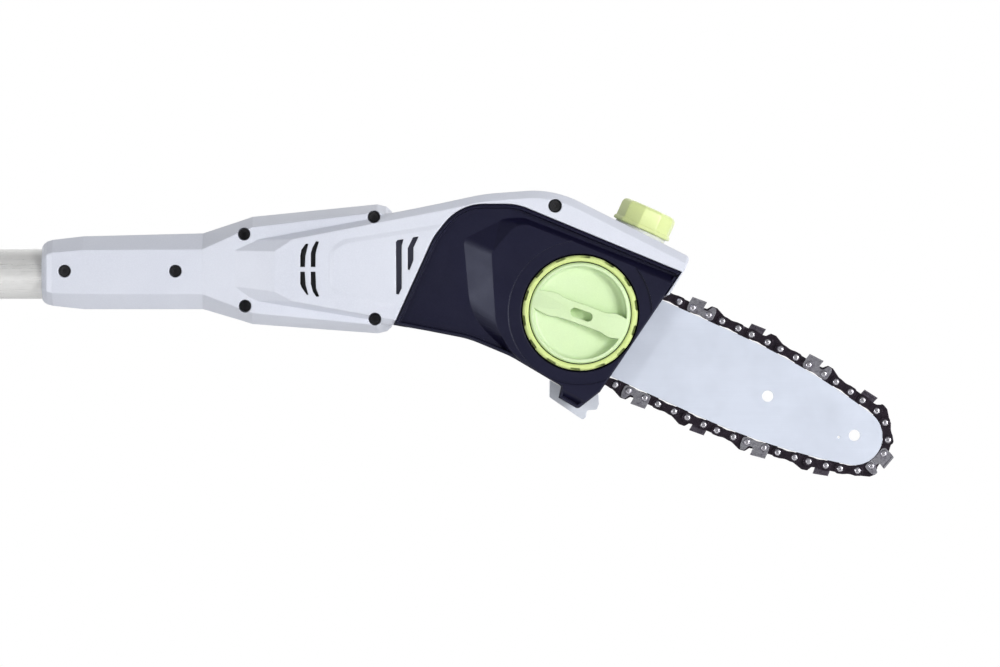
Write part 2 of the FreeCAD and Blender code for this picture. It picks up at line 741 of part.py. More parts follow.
def bumper_link(span):
    """Centre link whose ramped hump stands in front of the next cutter."""
    half = span / 2
    return outline([
        (-half - 3.1, 2.2, 1.2), (-half - 3.1, -2.2, 1.2), (-half + 1.2, -3.2, 1), (-1.6, -8.2, 0.8),
        (1.2, -8.2, 0.6), (half - 0.4, -3.2, 1), (half + 3.1, -2.2, 1.2), (half + 3.1, 2.4, 1.2),
        (half - 0.5, 3.4, 1), (-half + 3, 5.8, 1.2), (-half - 0.5, 5.6, 1.2),
    ])


def tie_strap(span):
    """Side link with two round ends and a slight waist."""
    half = span / 2
    return outline([
        (-half - 3.2, 3.1, 2.2), (-half - 3.2, -3, 2.2), (-half + 2, -3, 3), (0, -2.4, 8), (half - 2, -3, 3),
        (half + 3.2, -3, 2.2), (half + 3.2, 3.1, 2.2), (half - 2, 3.1, 3), (0, 2.5, 8), (-half + 2, 3.1, 3),
    ])


def cutter_side(span):
    """Side plate of a cutter: foot, gullet, depth gauge ahead of it and the cutting body behind."""
    half = span / 2
    return outline([
        (-half - 3.2, -3, 2), (0, -2.4, 8), (half + 3.2, -3, 2), (half + 3.4, 2.4, 1), (half + 2.6, 5.2, 0.8),
        (half + 0.2, 5.4, 0.8), (half - 1.8, 1.6, 1.6), (half - 4.6, 1.8, 1), (half - 4.2, 6.6),
        (-half - 2.8, 5.9), (-half - 3.2, 2.6, 1),
    ])


def cutter(span, side):
    """Whole cutter: side plate bent over into a top plate that reaches across the chain."""
    half = span / 2
    thickness = size("link_thickness")
    inner = size("link_thickness") / 2 + 0.05
    plate = prism(cutter_side(span), side * inner, side * (inner + thickness))
    top_profile = outline([(-half - 2.8, 4.9), (-half - 2.8, 5.9), (half - 4.2, 6.6), (half - 4.2, 5.5)])
    top = prism(top_profile, side * (inner + thickness + 1.3), -side * 1.1)
    return plate.fuse(top)


def chain():
    """The saw chain, one node for each kind of link and one for the rivets."""
    places = rivet_places()
    count = len(places)
    thickness = size("link_thickness")
    inner = thickness / 2 + 0.05
    groups = {"drive_links": [], "tie_straps": [], "left_cutters": [], "right_cutters": [], "rivets": []}
    for pair in range(count // 2):
        first = places[2 * pair]
        second = places[2 * pair + 1]
        third = places[(2 * pair + 2) % count]
        centre_span = first.distanceToPoint(second)
        side_span = second.distanceToPoint(third)
        shape_of = bumper_link if pair % 2 == 1 and pair < count // 2 - 1 else drive_link
        link = prism(shape_of(centre_span), -thickness / 2, thickness / 2)
        groups["drive_links"].append(moved(link, link_frame(first, second)))
        frame = link_frame(second, third)
        kind = pair % 4 if pair < count // 2 - 1 else 1
        near_strap = prism(tie_strap(side_span), -inner - thickness, -inner)
        far_strap = prism(tie_strap(side_span), inner, inner + thickness)
        if kind == 0:
            groups["left_cutters"].append(moved(cutter(side_span, -1), frame))
            groups["tie_straps"].append(moved(far_strap, frame))
        elif kind == 2:
            groups["right_cutters"].append(moved(cutter(side_span, 1), frame))
            groups["tie_straps"].append(moved(near_strap, frame))
        else:
            groups["tie_straps"].append(moved(near_strap, frame))
            groups["tie_straps"].append(moved(far_strap, frame))
    rivet_shape = rivet(inner + thickness)
    for place in places:
        hole_frame = FreeCAD.Placement(Vector(place.x, 0, place.y), FreeCAD.Rotation())
        groups["rivets"].append(moved(rivet_shape, hole_frame))
    holes = Part.makeCompound([moved(rod(1.6, 20, Vector(0, -10, 0), ALONG_Y),
                                     FreeCAD.Placement(Vector(p.x, 0, p.y), FreeCAD.Rotation())) for p in places])
    for name, shapes in groups.items():
        group = Part.makeCompound(shapes)
        if name != "rivets":
            group = Part.makeCompound(group.cut(holes).Solids)
        shaped("chain_" + name, group, bar_placement())


def moved(shape, placement):
    """Copy of a shape at a placement."""
    copy = shape.copy()
    copy.Placement = placement
    return copy


def rivet(reach):
    """Rivet along Y with a low domed head at each end."""
    shank = rod(1.6, 2 * reach, Vector(0, -reach, 0), ALONG_Y)
    heads = []
    for side in (-1, 1):
        head = Part.makeCone(2.2, 1.3, 0.6, Vector(0, side * reach, 0), Vector(0, side, 0))
        heads.append(head)
    return shank.fuse(heads)


def sprocket():
    """Six-tooth drive sprocket with a gap for each drive link's tang."""
    places = rivet_places()
    teeth = int(size("tooth_count"))
    nearest = min(range(0, len(places), 2), key=lambda i: (places[i] + places[i + 1]).x)
    tang = (places[nearest] + places[nearest + 1]) * 0.5
    phase = math.atan2(tang.y, tang.x)
    step = 2 * math.pi / teeth
    points = []
    for tooth in range(teeth):
        for share, radius in ((0.24, 8.9), (0.38, 12.6), (0.62, 12.6), (0.76, 8.9)):
            angle = phase + (tooth + share) * step
            points.append((radius * math.cos(angle), radius * math.sin(angle)))
    body = side_plate("drive_sprocket", outline(points), "-4", "4")
    side_cut(body, circle(0, 0, size("sprocket_shaft_dia") / 2), "-6", "6")
    place_on_bar(body)


# ---------------------------------------------------------------- cover, knob, bumper

def in_bar_frame(u, v):
    """Side-view point from distances along and across the bar."""
    tilt = math.radians(size("bar_tilt"))
    return (size("drive_x") + u * math.cos(tilt) + v * math.sin(tilt), -u * math.sin(tilt) + v * math.cos(tilt))


def side_cover():
    """Black cover with a well for the tension ring, open where the bar and chain come out."""
    face_y = -size("head_near") + 0.6
    back_y = -size("bar_floor")
    wall = 2.4
    shape = grown_prism(outline(COVER_OUTLINE), -0.35, face_y, back_y)
    cavity = grown_prism(outline(COVER_OUTLINE), -wall - 0.35, face_y + 4, back_y)
    shape = shape.cut(cavity)
    recess = grown_prism(outline(COVER_OUTLINE), -4.5, face_y, face_y + 1.6)
    shape = shape.cut(recess)
    knob = Vector(size("knob_x"), 0, size("knob_z"))
    well_radius = size("ring_dia") / 2 + 1
    well_floor = -22
    well_wall = rod(well_radius + 2, well_floor - face_y - 1.6, knob + Vector(0, face_y + 1.6, 0), ALONG_Y)
    inside = grown_prism(outline(COVER_OUTLINE), -0.35, face_y, back_y)
    shape = shape.fuse(well_wall.common(inside))
    shape = shape.cut(rod(well_radius, 40, knob + Vector(0, well_floor - 2 - 40, 0), ALONG_Y))
    shape = shape.cut(rod(9, 40, knob + Vector(0, -40, 0), ALONG_Y))
    exit_corners = [in_bar_frame(*corner) for corner in ((60, 40), (60, -60), (150, -60), (150, 40))]
    exit_slot = prism(outline(exit_corners), -21.6, 0)
    shape = shape.cut(exit_slot)
    shaped("side_cover", biggest_solid(shape))


def knob_set():
    """Tension ring, lock knob with its finger bar, nut in the knob, and the stud it turns on."""
    x = size("knob_x")
    z = size("knob_z")
    ring_radius = size("ring_dia") / 2
    ring_back = -24.4
    ring_front = -39
    points = []
    notch_count = 12
    for notch in range(notch_count):
        for share, depth in ((0.0, 0), (0.62, 0), (0.72, 1.1), (0.9, 1.1)):
            angle = (notch + share) * 2 * math.pi / notch_count
            radius = ring_radius - depth
            points.append((x + radius * math.cos(angle), z + radius * math.sin(angle)))
    ring = side_plate("tension_ring", outline(points), str(ring_front), str(ring_back))
    side_cut(ring, circle(x, z, size("knob_dia") / 2 + 0.4), "-60", "0")

    centre = Vector(x, 0, z)
    disc = rod(size("knob_dia") / 2, 13, centre + Vector(0, -38, 0), ALONG_Y)
    dish = Part.makeCone(25, 28, 8, centre + Vector(0, -31, 0), Vector(0, -1, 0))
    disc = disc.cut(dish)
    tilt = math.radians(19)
    length = 27.6
    bar_corners = []
    for along, across in ((-length, -4.6), (0, -3.8), (length, -4.6), (length, 4.6), (0, 3.8), (-length, 4.6)):
        bar_corners.append((x + along * math.cos(tilt) + across * math.sin(tilt),
                            z - along * math.sin(tilt) + across * math.cos(tilt), 1.5))
    finger_bar = prism(outline(bar_corners), -41, -30.8)
    finger_slot = Part.makeBox(13.8, 20, 5.5, Vector(-6.9, -10, -2.75))
    finger_slot.rotate(Vector(0, 0, 0), ALONG_Y, 19)
    finger_slot.translate(centre + Vector(0, -46, 0))
    knob = disc.fuse(finger_bar).cut(finger_slot)
    knob = knob.cut(rod(6.5, 6, centre + Vector(0, -31, 0), ALONG_Y))
    shaped("lock_knob", knob)

    nut = toothed_wheel(6, 6, 6.3, 5.6)
    nut = nut.cut(rod(4.05, 20, Vector(0, 0, -5), ALONG_Z))
    shaped("knob_nut", nut, FreeCAD.Placement(Vector(x, -30.9, z), FreeCAD.Rotation(ALONG_Z, ALONG_Y)))
    shank = cylinder("stud_shank", "4", "28 - Sizes.bar_floor + Sizes.floor_wall",
                     ("Sizes.knob_x", "-28", "Sizes.knob_z"), ALONG_Y)
    head = cylinder("stud_head", "6.5", "3",
                    ("Sizes.knob_x", "Sizes.floor_wall - Sizes.bar_floor", "Sizes.knob_z"), ALONG_Y)
    keep(fuse("bar_stud", shank, head), "bar_stud")


BUMPER_OUTLINE = [
    (304.8, -64.3), (304.6, -74.6, 1.5), (324.5, -88.1, 1.5), (326.6, -86.6, 1), (327, -82.4, 1.5), (333, -82, 1),
    (334.4, -78.5, 1), (334.2, -73.6, 1), (333.6, -71.8), (310.6, -67.7),
]


def branch_bumper():
    """Hook under the head that rests on the branch, with the two screws that hold it."""
    bumper = side_plate("branch_bumper", outline(BUMPER_OUTLINE), "-Sizes.bar_floor + 0.1", "16")
    screws = []
    for x in BUMPER_SCREWS:
        pocketed_round(bumper, x, BUMPER_SCREW_Y, -60, 1.8, 40)
        pocketed_round(bumper, x, BUMPER_SCREW_Y, -76, 3.2, 40)
        head = rod(3, 2, Vector(x, BUMPER_SCREW_Y, -78), ALONG_Z)
        screws.append(head.fuse(rod(1.8, 16, Vector(x, BUMPER_SCREW_Y, -76), ALONG_Z)))
    shaped("bumper_screws", Part.makeCompound(screws))


def pocketed_round(body, x, y, top, radius, depth):
    """Round hole straight down into a body, from the plane at height top."""
    pocket = body.newObject("PartDesign::Pocket", "pocket")
    before = body.Shape.Volume
    pocket.Profile = sketch_on(body, "XY_Plane", circle(x, y, radius), str(top))
    pocket.Length = depth
    document.recompute()
    if body.Shape.Volume >= before - 1e-6:
        raise RuntimeError("hole in " + body.Label + " cuts nothing")


# ---------------------------------------------------------------- oil system

def cap_direction():
    """Axis of the filler, square to the sloping top of the head."""
    tilt = math.radians(size("bar_tilt"))
    return Vector(math.sin(tilt), 0, math.cos(tilt))


def cap_point(height):
    """Point on the filler's axis, height above the foot of the cap."""
    return Vector(size("cap_x"), size("cap_y"), size("cap_z")) + cap_direction() * height


def oil_system():
    """Tank, filler neck, cap with gasket, pump and oil tube."""
    axis = cap_direction()
    neck_radius = size("neck_dia") / 2
    neck = rod(neck_radius, 22, cap_point(-16), axis).cut(rod(neck_radius - 3, 30, cap_point(-20), axis))
    shaped("filler_neck", neck)

    corners = [(302, 22, 3), (302, -38, 3), (338, -52, 3), (366, -10, 3), (366, 2, 3), (345, 8, 3)]
    tank = prism(outline(corners), 1.5, 29.5).cut(grown_prism(outline(corners), -2, 3.5, 27.5))
    spout = rod(neck_radius - 3.2, 20, cap_point(-34), axis)
    tank = tank.cut(spout)
    shaped("oil_tank", biggest_solid(tank))

    facets = 12
    radius = size("cap_dia") / 2
    corners = []
    for index in range(facets):
        angle = index * 2 * math.pi / facets
        corners.append((radius * math.cos(angle), radius * math.sin(angle), 1.5))
    cap = plan_prism(outline(corners), 0, size("cap_height"))
    cap = cap.cut(rod(neck_radius + 0.5, 9, Vector(0, 0, 0), ALONG_Z))
    turn = FreeCAD.Rotation(ALONG_Z, axis)
    shaped("oil_cap", cap, FreeCAD.Placement(cap_point(0.6), turn))
    gasket = rod(neck_radius, 1.6, Vector(0, 0, 0), ALONG_Z).cut(rod(neck_radius - 4, 2, Vector(0, 0, 0), ALONG_Z))
    shaped("cap_gasket", gasket, FreeCAD.Placement(cap_point(6.6), turn))

    pump = rod(6, 18, Vector(286, 12, 33), ALONG_Y).fuse(rod(2.4, 8, Vector(286, 16, 29), Vector(0, 0, -1)))
    shaped("oil_pump", pump)
    hose = rod(1.5, 9, Vector(292, 20, 33), ALONG_X)
    elbow = rod(1.5, 11.5, Vector(301, 20, 33), Vector(0, 0, -1))
    shaped("oil_tube", hose.fuse(elbow).fuse(Part.makeSphere(1.5, Vector(301, 20, 33))))


# ---------------------------------------------------------------- rear handle

HANDLE_OUTLINE = [
    (-860, 24, 4), (-896, 27, 10), (-914, 20, 16), (-988, 21, 30), (-1004, 34, 12), (-1122, 34, 10),
    (-1122, -50, 4), (-992, -50, 6), (-984, -22, 18), (-936, -19, 30), (-898, -26, 12), (-860, -24, 4),
]
GRIP_END = -990


def handle_solid(inset):
    """Whole handle, moved inwards by inset: round-backed grip and a wide battery base."""
    face = face_of(outline(HANDLE_OUTLINE))
    if inset:
        face = face.makeOffset2D(-inset, 2)
    whole = face.extrude(Vector(0, 200, 0))
    whole.translate(Vector(0, -100, 0))
    half_grip = size("handle_half_grip")
    half_base = size("handle_half_base")
    plan = []
    for side in (1, -1):
        rows = [(-858, 24), (-900, 24), (-916, half_grip), (-984, half_grip), (-1006, half_base), (-1124, half_base)]
        if side == -1:
            rows.reverse()
        plan += [(x, side * (half - inset)) for x, half in rows]
    return whole.common(plan_prism(outline(plan), -200, 400))


def handle_half(label, near):
    """One half of the rear handle."""
    reach = 400
    base_y = -reach if near else 0
    region = Part.makeBox(reach, reach, reach, Vector(-1200, base_y, -200))
    shape = handle_solid(0).cut(handle_solid(2.6)).common(region)
    sleeve = rod(size("lower_dia") / 2 + 2.8, 38, Vector(size("lower_back"), 0, 0), ALONG_X).common(region)
    shape = shape.fuse(sleeve.common(handle_solid(0)))
    shape = shape.cut(rod(size("lower_dia") / 2, 60, Vector(size("lower_back"), 0, 0), ALONG_X))
    trigger_window = Part.makeBox(43, 13, 30, Vector(-942, -6.5, -40))
    button_window = Part.makeBox(21, 11, 20, Vector(-950.5, -5.5, 14))
    eye_window = Part.makeBox(24.4, 6, 20, Vector(-1108.2, -3, 20))
    neck_slot = Part.makeBox(122, 30.8, 16, Vector(-1130, -15.4, -60))
    rail_door = Part.makeBox(14, 40.8, 5.2, Vector(-1130, -20.4, -47.6))
    shape = shape.cut(trigger_window).cut(button_window).cut(eye_window).cut(neck_slot).cut(rail_door)
    for x, z in HANDLE_SCREWS:
        if near:
            shape = shape.cut(rod(2.9, 40, Vector(x, -14, z), Vector(0, -1, 0)))
            shape = shape.cut(rod(1.7, 60, Vector(x, 0, z), Vector(0, -1, 0)))
    return shaped(label, biggest_solid(shape))


HANDLE_SCREWS = [(-876, 20.5), (-876, -20.5), (-1000, 27), (-1113, 27), (-1000, -36), (-1113, -36)]


def handle_fittings():
    """Screws, trigger set, lock-off button, electronics and the hanging eye of the rear handle."""
    screws = []
    for x, z in HANDLE_SCREWS:
        head_y = -17 if x > -990 else -30
        head = rod(2.7, 2, Vector(x, head_y, z), ALONG_Y)
        shank = rod(1.6, -1 - head_y - 2, Vector(x, head_y + 2, z), ALONG_Y)
        screws.append(head.fuse(shank))
    shaped("handle_screws", Part.makeCompound(screws))

    pivot = (-934, -9)
    trigger_corners = [
        (-939, -5, 3), (-939, -21, 4), (-926, -31, 8), (-914, -28, 6), (-908, -34, 1.2), (-905.5, -31, 1.2),
        (-909, -22, 4), (-911, -8, 2), (-928, -5, 3),
    ]
    trigger = side_plate("trigger", outline(trigger_corners), "-6", "6")
    side_cut(trigger, circle(pivot[0], pivot[1], 1.65), "-8", "8")
    pin = cylinder("trigger_pin", "1.6", "2 * Sizes.handle_half_grip - 5.3",
                   (str(pivot[0]), "-Sizes.handle_half_grip + 2.65", str(pivot[1])), ALONG_Y)
    keep(pin, "trigger_pin")

    button_corners = [(-949, 15), (-949, 24.5, 3), (-931, 25.5, 3), (-931, 15)]
    side_plate("lock_off_button", outline(button_corners), "-4.8", "4.8")
    keep(box("switch_body", "24", "16", "11.6", ("-928", "-8", "4.4")), "switch_body")
    keep(box("control_board", "70", "50", "3", ("-1090", "-25", "5")), "control_board")
    keep(box("terminal_block", "24", "28", "14", ("-1034", "-14", "-62")), "terminal_block")

    eye = side_plate("hanging_eye", outline([(-1108, 24), (-1108, 50, 11.9), (-1084, 50, 11.9), (-1084, 24)]), "-3", "3")
    side_cut(eye, circle(-1096, 39, 5), "-6", "6")


def trigger_spring():
    """Bent leaf spring between the switch and the top of the trigger."""
    strip = outline([
        (-927, 4.3), (-912.5, 4.3, 2.4), (-912.5, -0.9, 2), (-925.4, -5), (-925.2, -4.3), (-913.2, -0.5, 1.3),
        (-913.2, 3.6, 1.7), (-927, 3.6),
    ])
    side_plate("trigger_spring", strip, "-2.5", "2.5")


def battery():
    """Battery pack that slides onto the base from behind, with its latch button."""
    bottom = size("battery_bottom")
    corners = [(-1126, -50.4, 4), (-1126, bottom, 8), (-1000, bottom, 8), (-994, -50.4, 3)]
    pack = prism(outline(corners), -34, 34)
    rail_neck = Part.makeBox(60, 30, 4, Vector(-1100, -15, -50.4))
    rail_head = Part.makeBox(60, 40, 3.8, Vector(-1100, -20, -46.9))
    channel = Part.makeBox(60, 31, 18, Vector(-1035, -15.5, -63))
    pocket = Part.makeBox(14, 30, 18, Vector(-1130, -15, -78))
    pack = pack.fuse([rail_neck, rail_head]).cut(channel).cut(pocket)
    shaped("battery_pack", biggest_solid(pack))
    button = outline([(-1129, -61, 2), (-1129, -77, 2), (-1119.5, -77), (-1119.5, -61)])
    side_plate("battery_latch", button, "-14.5", "14.5")


# ---------------------------------------------------------------- build and write

housing_half("housing_near", True)
housing_half("housing_far", False)
housing_screws()
pole_tubes()
mid_grip()
strap_clip()
clamp()
motor()
sprocket_drive()
guide_bar()
chain()
sprocket()
side_cover()
knob_set()
branch_bumper()
oil_system()
handle_half("handle_near", True)
handle_half("handle_far", False)
handle_fittings()
trigger_spring()
battery()
document.recompute()

for item in document.Objects:
    if "Invalid" in item.State or "Error" in item.State:
        raise RuntimeError("%s did not build: %s" % (item.Label, item.State))
os.makedirs("parts", exist_ok=True)
for part in sub_parts:
    if part.Shape.isNull() or not part.Shape.isValid() or not part.Shape.Solids:
        raise RuntimeError("%s has no valid shape" % part.Label)
for part in sub_parts:
    part.Shape.exportStep("parts/%s.step" % part.Label)
    print("%-18s solids %3d  volume %10.1f" % (part.Label, len(part.Shape.Solids), part.Shape.Volume))
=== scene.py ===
import math

import bmesh
import bpy
from mathutils import Matrix, Vector


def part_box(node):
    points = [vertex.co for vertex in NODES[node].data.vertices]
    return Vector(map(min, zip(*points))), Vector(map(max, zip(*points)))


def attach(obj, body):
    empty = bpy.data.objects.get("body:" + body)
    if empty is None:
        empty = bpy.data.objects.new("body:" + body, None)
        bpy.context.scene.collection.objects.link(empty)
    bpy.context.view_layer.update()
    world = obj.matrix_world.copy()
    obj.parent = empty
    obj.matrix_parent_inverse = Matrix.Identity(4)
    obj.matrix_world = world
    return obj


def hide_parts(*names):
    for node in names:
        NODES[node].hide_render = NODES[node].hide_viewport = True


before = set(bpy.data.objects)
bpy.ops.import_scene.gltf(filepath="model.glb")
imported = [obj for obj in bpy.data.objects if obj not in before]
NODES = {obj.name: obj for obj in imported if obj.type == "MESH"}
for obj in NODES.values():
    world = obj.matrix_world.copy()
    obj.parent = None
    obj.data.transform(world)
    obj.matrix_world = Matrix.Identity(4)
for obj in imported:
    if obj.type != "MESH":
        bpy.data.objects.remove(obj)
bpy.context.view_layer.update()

MM = 0.001
ALONG_POLE = Vector((1, 0, 0))
ACROSS = Vector((0, 1, 0))
TO_COVER = Vector((0, -1, 0))

# Places in millimetres, from where the pole enters the head.
BAR_TILT = math.radians(24.3)
DRIVE = Vector((270.2, 0, 0))
FILLER_FOOT = Vector((359.2, 4, 25.2))
FILLER_AXIS = Vector((math.sin(BAR_TILT), 0, math.cos(BAR_TILT)))
ring_low, ring_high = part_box("tension_ring")
ring_middle = (ring_low + ring_high) / 2 / MM
KNOB = Vector((ring_middle.x, 0, ring_middle.z))

# Straight pieces in a rounded corner, and the least radius that a moved outline keeps.
CORNER_PIECES = 8
SMALLEST_RADIUS = 1.5
# Y distances outside the head, where the cutters that go in through its side begin.
CLEAR = 60
FAR_CLEAR = 200


# ------------------------------------------------------------------ mesh tools

def rounded(corners):
    """Closed outline as points. A corner is (a, b) or (a, b, radius)."""
    points = []
    count = len(corners)
    for index, corner in enumerate(corners):
        here = Vector(corner[:2])
        radius = corner[2] if len(corner) > 2 else 0
        if radius == 0:
            points.append(here)
            continue
        back = (Vector(corners[index - 1][:2]) - here).normalized()
        ahead = (Vector(corners[(index + 1) % count][:2]) - here).normalized()
        half = back.angle(ahead) / 2
        reach = radius / math.tan(half)
        centre = here + (back + ahead).normalized() * (radius / math.sin(half))
        first = here + back * reach - centre
        turn = math.pi - 2 * half
        sign = 1 if back.x * ahead.y < back.y * ahead.x else -1
        for piece in range(CORNER_PIECES + 1):
            angle = sign * turn * piece / CORNER_PIECES
            turned = Vector((first.x * math.cos(angle) - first.y * math.sin(angle),
                             first.x * math.sin(angle) + first.y * math.cos(angle)))
            points.append(centre + turned)
    return points


def area(points):
    """Signed area of a closed outline."""
    total = 0
    for a, b in zip(points, points[1:] + points[:1]):
        total += a[0] * b[1] - b[0] * a[1]
    return total / 2


def grown(corners, growth):
    """Corners moved outwards by growth, with their radii changed to suit."""
    sign = 1 if area(corners) > 0 else -1
    result = []
    count = len(corners)
    for index, corner in enumerate(corners):
        here = Vector(corner[:2])
        before = (here - Vector(corners[index - 1][:2])).normalized()
        after = (Vector(corners[(index + 1) % count][:2]) - here).normalized()
        normal_a = Vector((before.y, -before.x)) * sign
        normal_b = Vector((after.y, -after.x)) * sign
        middle = (normal_a + normal_b).normalized()
        moved = here + middle * growth / middle.dot(normal_a)
        if len(corner) == 2:
            result.append((moved.x, moved.y))
            continue
        convex = (before.x * after.y - before.y * after.x) * sign > 0
        radius = corner[2] + (growth if convex else -growth)
        result.append((moved.x, moved.y, max(radius, min(corner[2], SMALLEST_RADIUS))))
    return result


def ring_of(corners, growth=0):
    """Rounded outline of corners that are first moved outwards by growth."""
    return rounded(grown(corners, growth) if growth else corners)


def circle(a, b, radius, count=72):
    """Round outline."""
    turn = 2 * math.pi / count
    return [Vector((a + radius * math.cos(i * turn), b + radius * math.sin(i * turn))) for i in range(count)]


def at_y(points, y):
    """Side-view outline placed at a Y plane."""
    return [Vector((p[0], y, p[1])) for p in points]


def at_z(points, z):
    """Plan outline placed at a height."""
    return [Vector((p[0], p[1], z)) for p in points]


def loft(name, loops, closed_ends=True):
    """Solid through loops of equal point count, given in millimetres."""
    mesh = bmesh.new()
    rows = [[mesh.verts.new(point * MM) for point in loop] for loop in loops]
    count = len(rows[0])
    for low, high in zip(rows, rows[1:]):
        for index in range(count):
            other = (index + 1) % count
            mesh.faces.new((low[index], low[other], high[other], high[index]))
    if closed_ends:
        mesh.faces.new(rows[0])
        mesh.faces.new(rows[-1])
    bmesh.ops.remove_doubles(mesh, verts=mesh.verts, dist=1e-6)
    bmesh.ops.triangulate(mesh, faces=mesh.faces)
    bmesh.ops.recalc_face_normals(mesh, faces=mesh.faces)
    data = bpy.data.meshes.new(name)
    mesh.to_mesh(data)
    mesh.free()
    thing = bpy.data.objects.new(name, data)
    bpy.context.scene.collection.objects.link(thing)
    return thing


def prism(name, points, y_from, y_to):
    """Straight solid between two Y planes."""
    return loft(name, [at_y(points, y_from), at_y(points, y_to)])


def stacked(name, corners, steps):
    """Solid through moved copies of an outline. A step is (growth, y)."""
    return loft(name, [at_y(ring_of(corners, growth), y) for growth, y in steps])


def upright_to(axis):
    """Rotation that takes the upward direction to an axis."""
    return Vector((0, 0, 1)).rotation_difference(axis).to_matrix()


def cylinder(name, centre, axis, radius, low, high, count=48):
    """Straight cylinder from low to high along an axis."""
    spin = upright_to(axis)
    ring = circle(0, 0, radius, count)
    return loft(name, [[centre + spin @ Vector((p[0], p[1], h)) for p in ring] for h in (low, high)])


def spun(name, profile, centre, axis, count=96):
    """Solid turned round an axis. The closed profile is (radius, height) pairs in millimetres."""
    spin = upright_to(axis)
    loops = []
    for index in range(count + 1):
        angle = 2 * math.pi * index / count
        loop = []
        for radius, height in profile:
            loop.append(centre + spin @ Vector((radius * math.cos(angle), radius * math.sin(angle), height)))
        loops.append(loop)
    return loft(name, loops, closed_ends=False)


def cleaned(thing):
    """Merge points that lie together after booleans, and drop faces without area."""
    together = 0.02 * MM
    too_thin = 0.005 * MM
    mesh = bmesh.new()
    mesh.from_mesh(thing.data)
    bmesh.ops.triangulate(mesh, faces=mesh.faces)
    bmesh.ops.remove_doubles(mesh, verts=mesh.verts, dist=together)
    bmesh.ops.dissolve_degenerate(mesh, edges=mesh.edges, dist=too_thin)
    mesh.to_mesh(thing.data)
    mesh.free()
    return thing


def applied(thing):
    """Turn an object's modifiers into its mesh."""
    graph = bpy.context.evaluated_depsgraph_get()
    graph.update()
    baked = bpy.data.meshes.new_from_object(thing.evaluated_get(graph))
    old = thing.data
    thing.modifiers.clear()
    thing.data = baked
    bpy.data.meshes.remove(old)
    return thing


def combine(target, tools, operation="DIFFERENCE"):
    """Boolean of a solid with tool solids, which are used up."""
    for tool in tools:
        step = target.modifiers.new("boolean", "BOOLEAN")
        step.operation = operation
        step.solver = "MANIFOLD"
        step.object = tool
        applied(target)
        if not target.data.polygons:
            raise RuntimeError("nothing is left of " + target.name)
        bpy.data.objects.remove(tool)
    return target


def shade(thing, angle=24):
    """Shade smoothly, with creases where faces meet at more than an angle."""
    for polygon in thing.data.polygons:
        polygon.use_smooth = True
    thing.data.set_sharp_from_angle(angle=math.radians(angle))
    return thing


def finish_piece(thing, body, slot, material, *nodes):
    """Give a new piece its material and body, and hide the CAD nodes it stands for. The slot argument is not
    used.
    """
    thing.data.materials.clear()
    thing.data.materials.append(material)
    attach(thing, body)
    if nodes:
        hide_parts(*nodes)
    return thing


# ------------------------------------------------------------------ materials

class Recipe:
    """Small helper that adds and joins shader nodes."""

    def __init__(self, name):
        self.material = bpy.data.materials.new(name)
        self.material.use_nodes = True
        self.tree = self.material.node_tree
        self.shader = self.tree.nodes["Principled BSDF"]
        self.place = self.add("ShaderNodeTexCoord").outputs["Object"]

    def add(self, kind, **values):
        """New shader node with its settings."""
        node = self.tree.nodes.new(kind)
        for name, value in values.items():
            setattr(node, name, value)
        return node

    def join(self, source, target):
        """Link an output socket to an input socket."""
        self.tree.links.new(source, target)

    def noise(self, scale, detail=3, rough=0.5, stretch=None):
        """Noise in millimetres: scale is the number of features in a millimetre."""
        node = self.add("ShaderNodeTexNoise")
        node.inputs["Scale"].default_value = scale / MM
        node.inputs["Detail"].default_value = detail
        node.inputs["Roughness"].default_value = rough
        if stretch:
            mapping = self.add("ShaderNodeMapping")
            mapping.inputs["Rotation"].default_value = stretch[0]
            mapping.inputs["Scale"].default_value = stretch[1]
            self.join(self.place, mapping.inputs["Vector"])
            self.join(mapping.outputs["Vector"], node.inputs["Vector"])
        else:
            self.join(self.place, node.inputs["Vector"])
        return node.outputs["Fac"]

    def spread(self, source, low, high, start=0.3, end=0.7):
        """Map a value's range to another."""
        node = self.add("ShaderNodeMapRange")
        node.inputs["From Min"].default_value = start
        node.inputs["From Max"].default_value = end
        node.inputs["To Min"].default_value = low
        node.inputs["To Max"].default_value = high
        self.join(source, node.inputs["Value"])
        return node.outputs["Result"]

    def mix(self, factor, first, second):
        """Blend of two colours, each a tuple or a socket."""
        node = self.add("ShaderNodeMix", data_type="RGBA")
        self.join(factor, node.inputs["Factor"])
        for value, socket in ((first, node.inputs[6]), (second, node.inputs[7])):
            if isinstance(value, tuple):
                socket.default_value = (*value, 1)
            else:
                self.join(value, socket)
        return node.outputs[2]

    def bumps(self, layers, edge=0.3):
        """Softened edges under bump layers, each (height socket, depth in millimetres, strength)."""
        soft_edge = self.add("ShaderNodeBevel", samples=6)
        soft_edge.inputs["Radius"].default_value = edge * MM
        last = soft_edge.outputs["Normal"]
        for height, depth, strength in layers:
            node = self.add("ShaderNodeBump")
            node.inputs["Distance"].default_value = depth * MM
            node.inputs["Strength"].default_value = strength
            self.join(height, node.inputs["Height"])
            self.join(last, node.inputs["Normal"])
            last = node.outputs["Normal"]
        self.join(last, self.shader.inputs["Normal"])

    def set(self, **values):
        """Fixed values of the main shader, with _ for each space in a socket's name."""
        for name, value in values.items():
            self.shader.inputs[name.replace("_", " ")].default_value = value


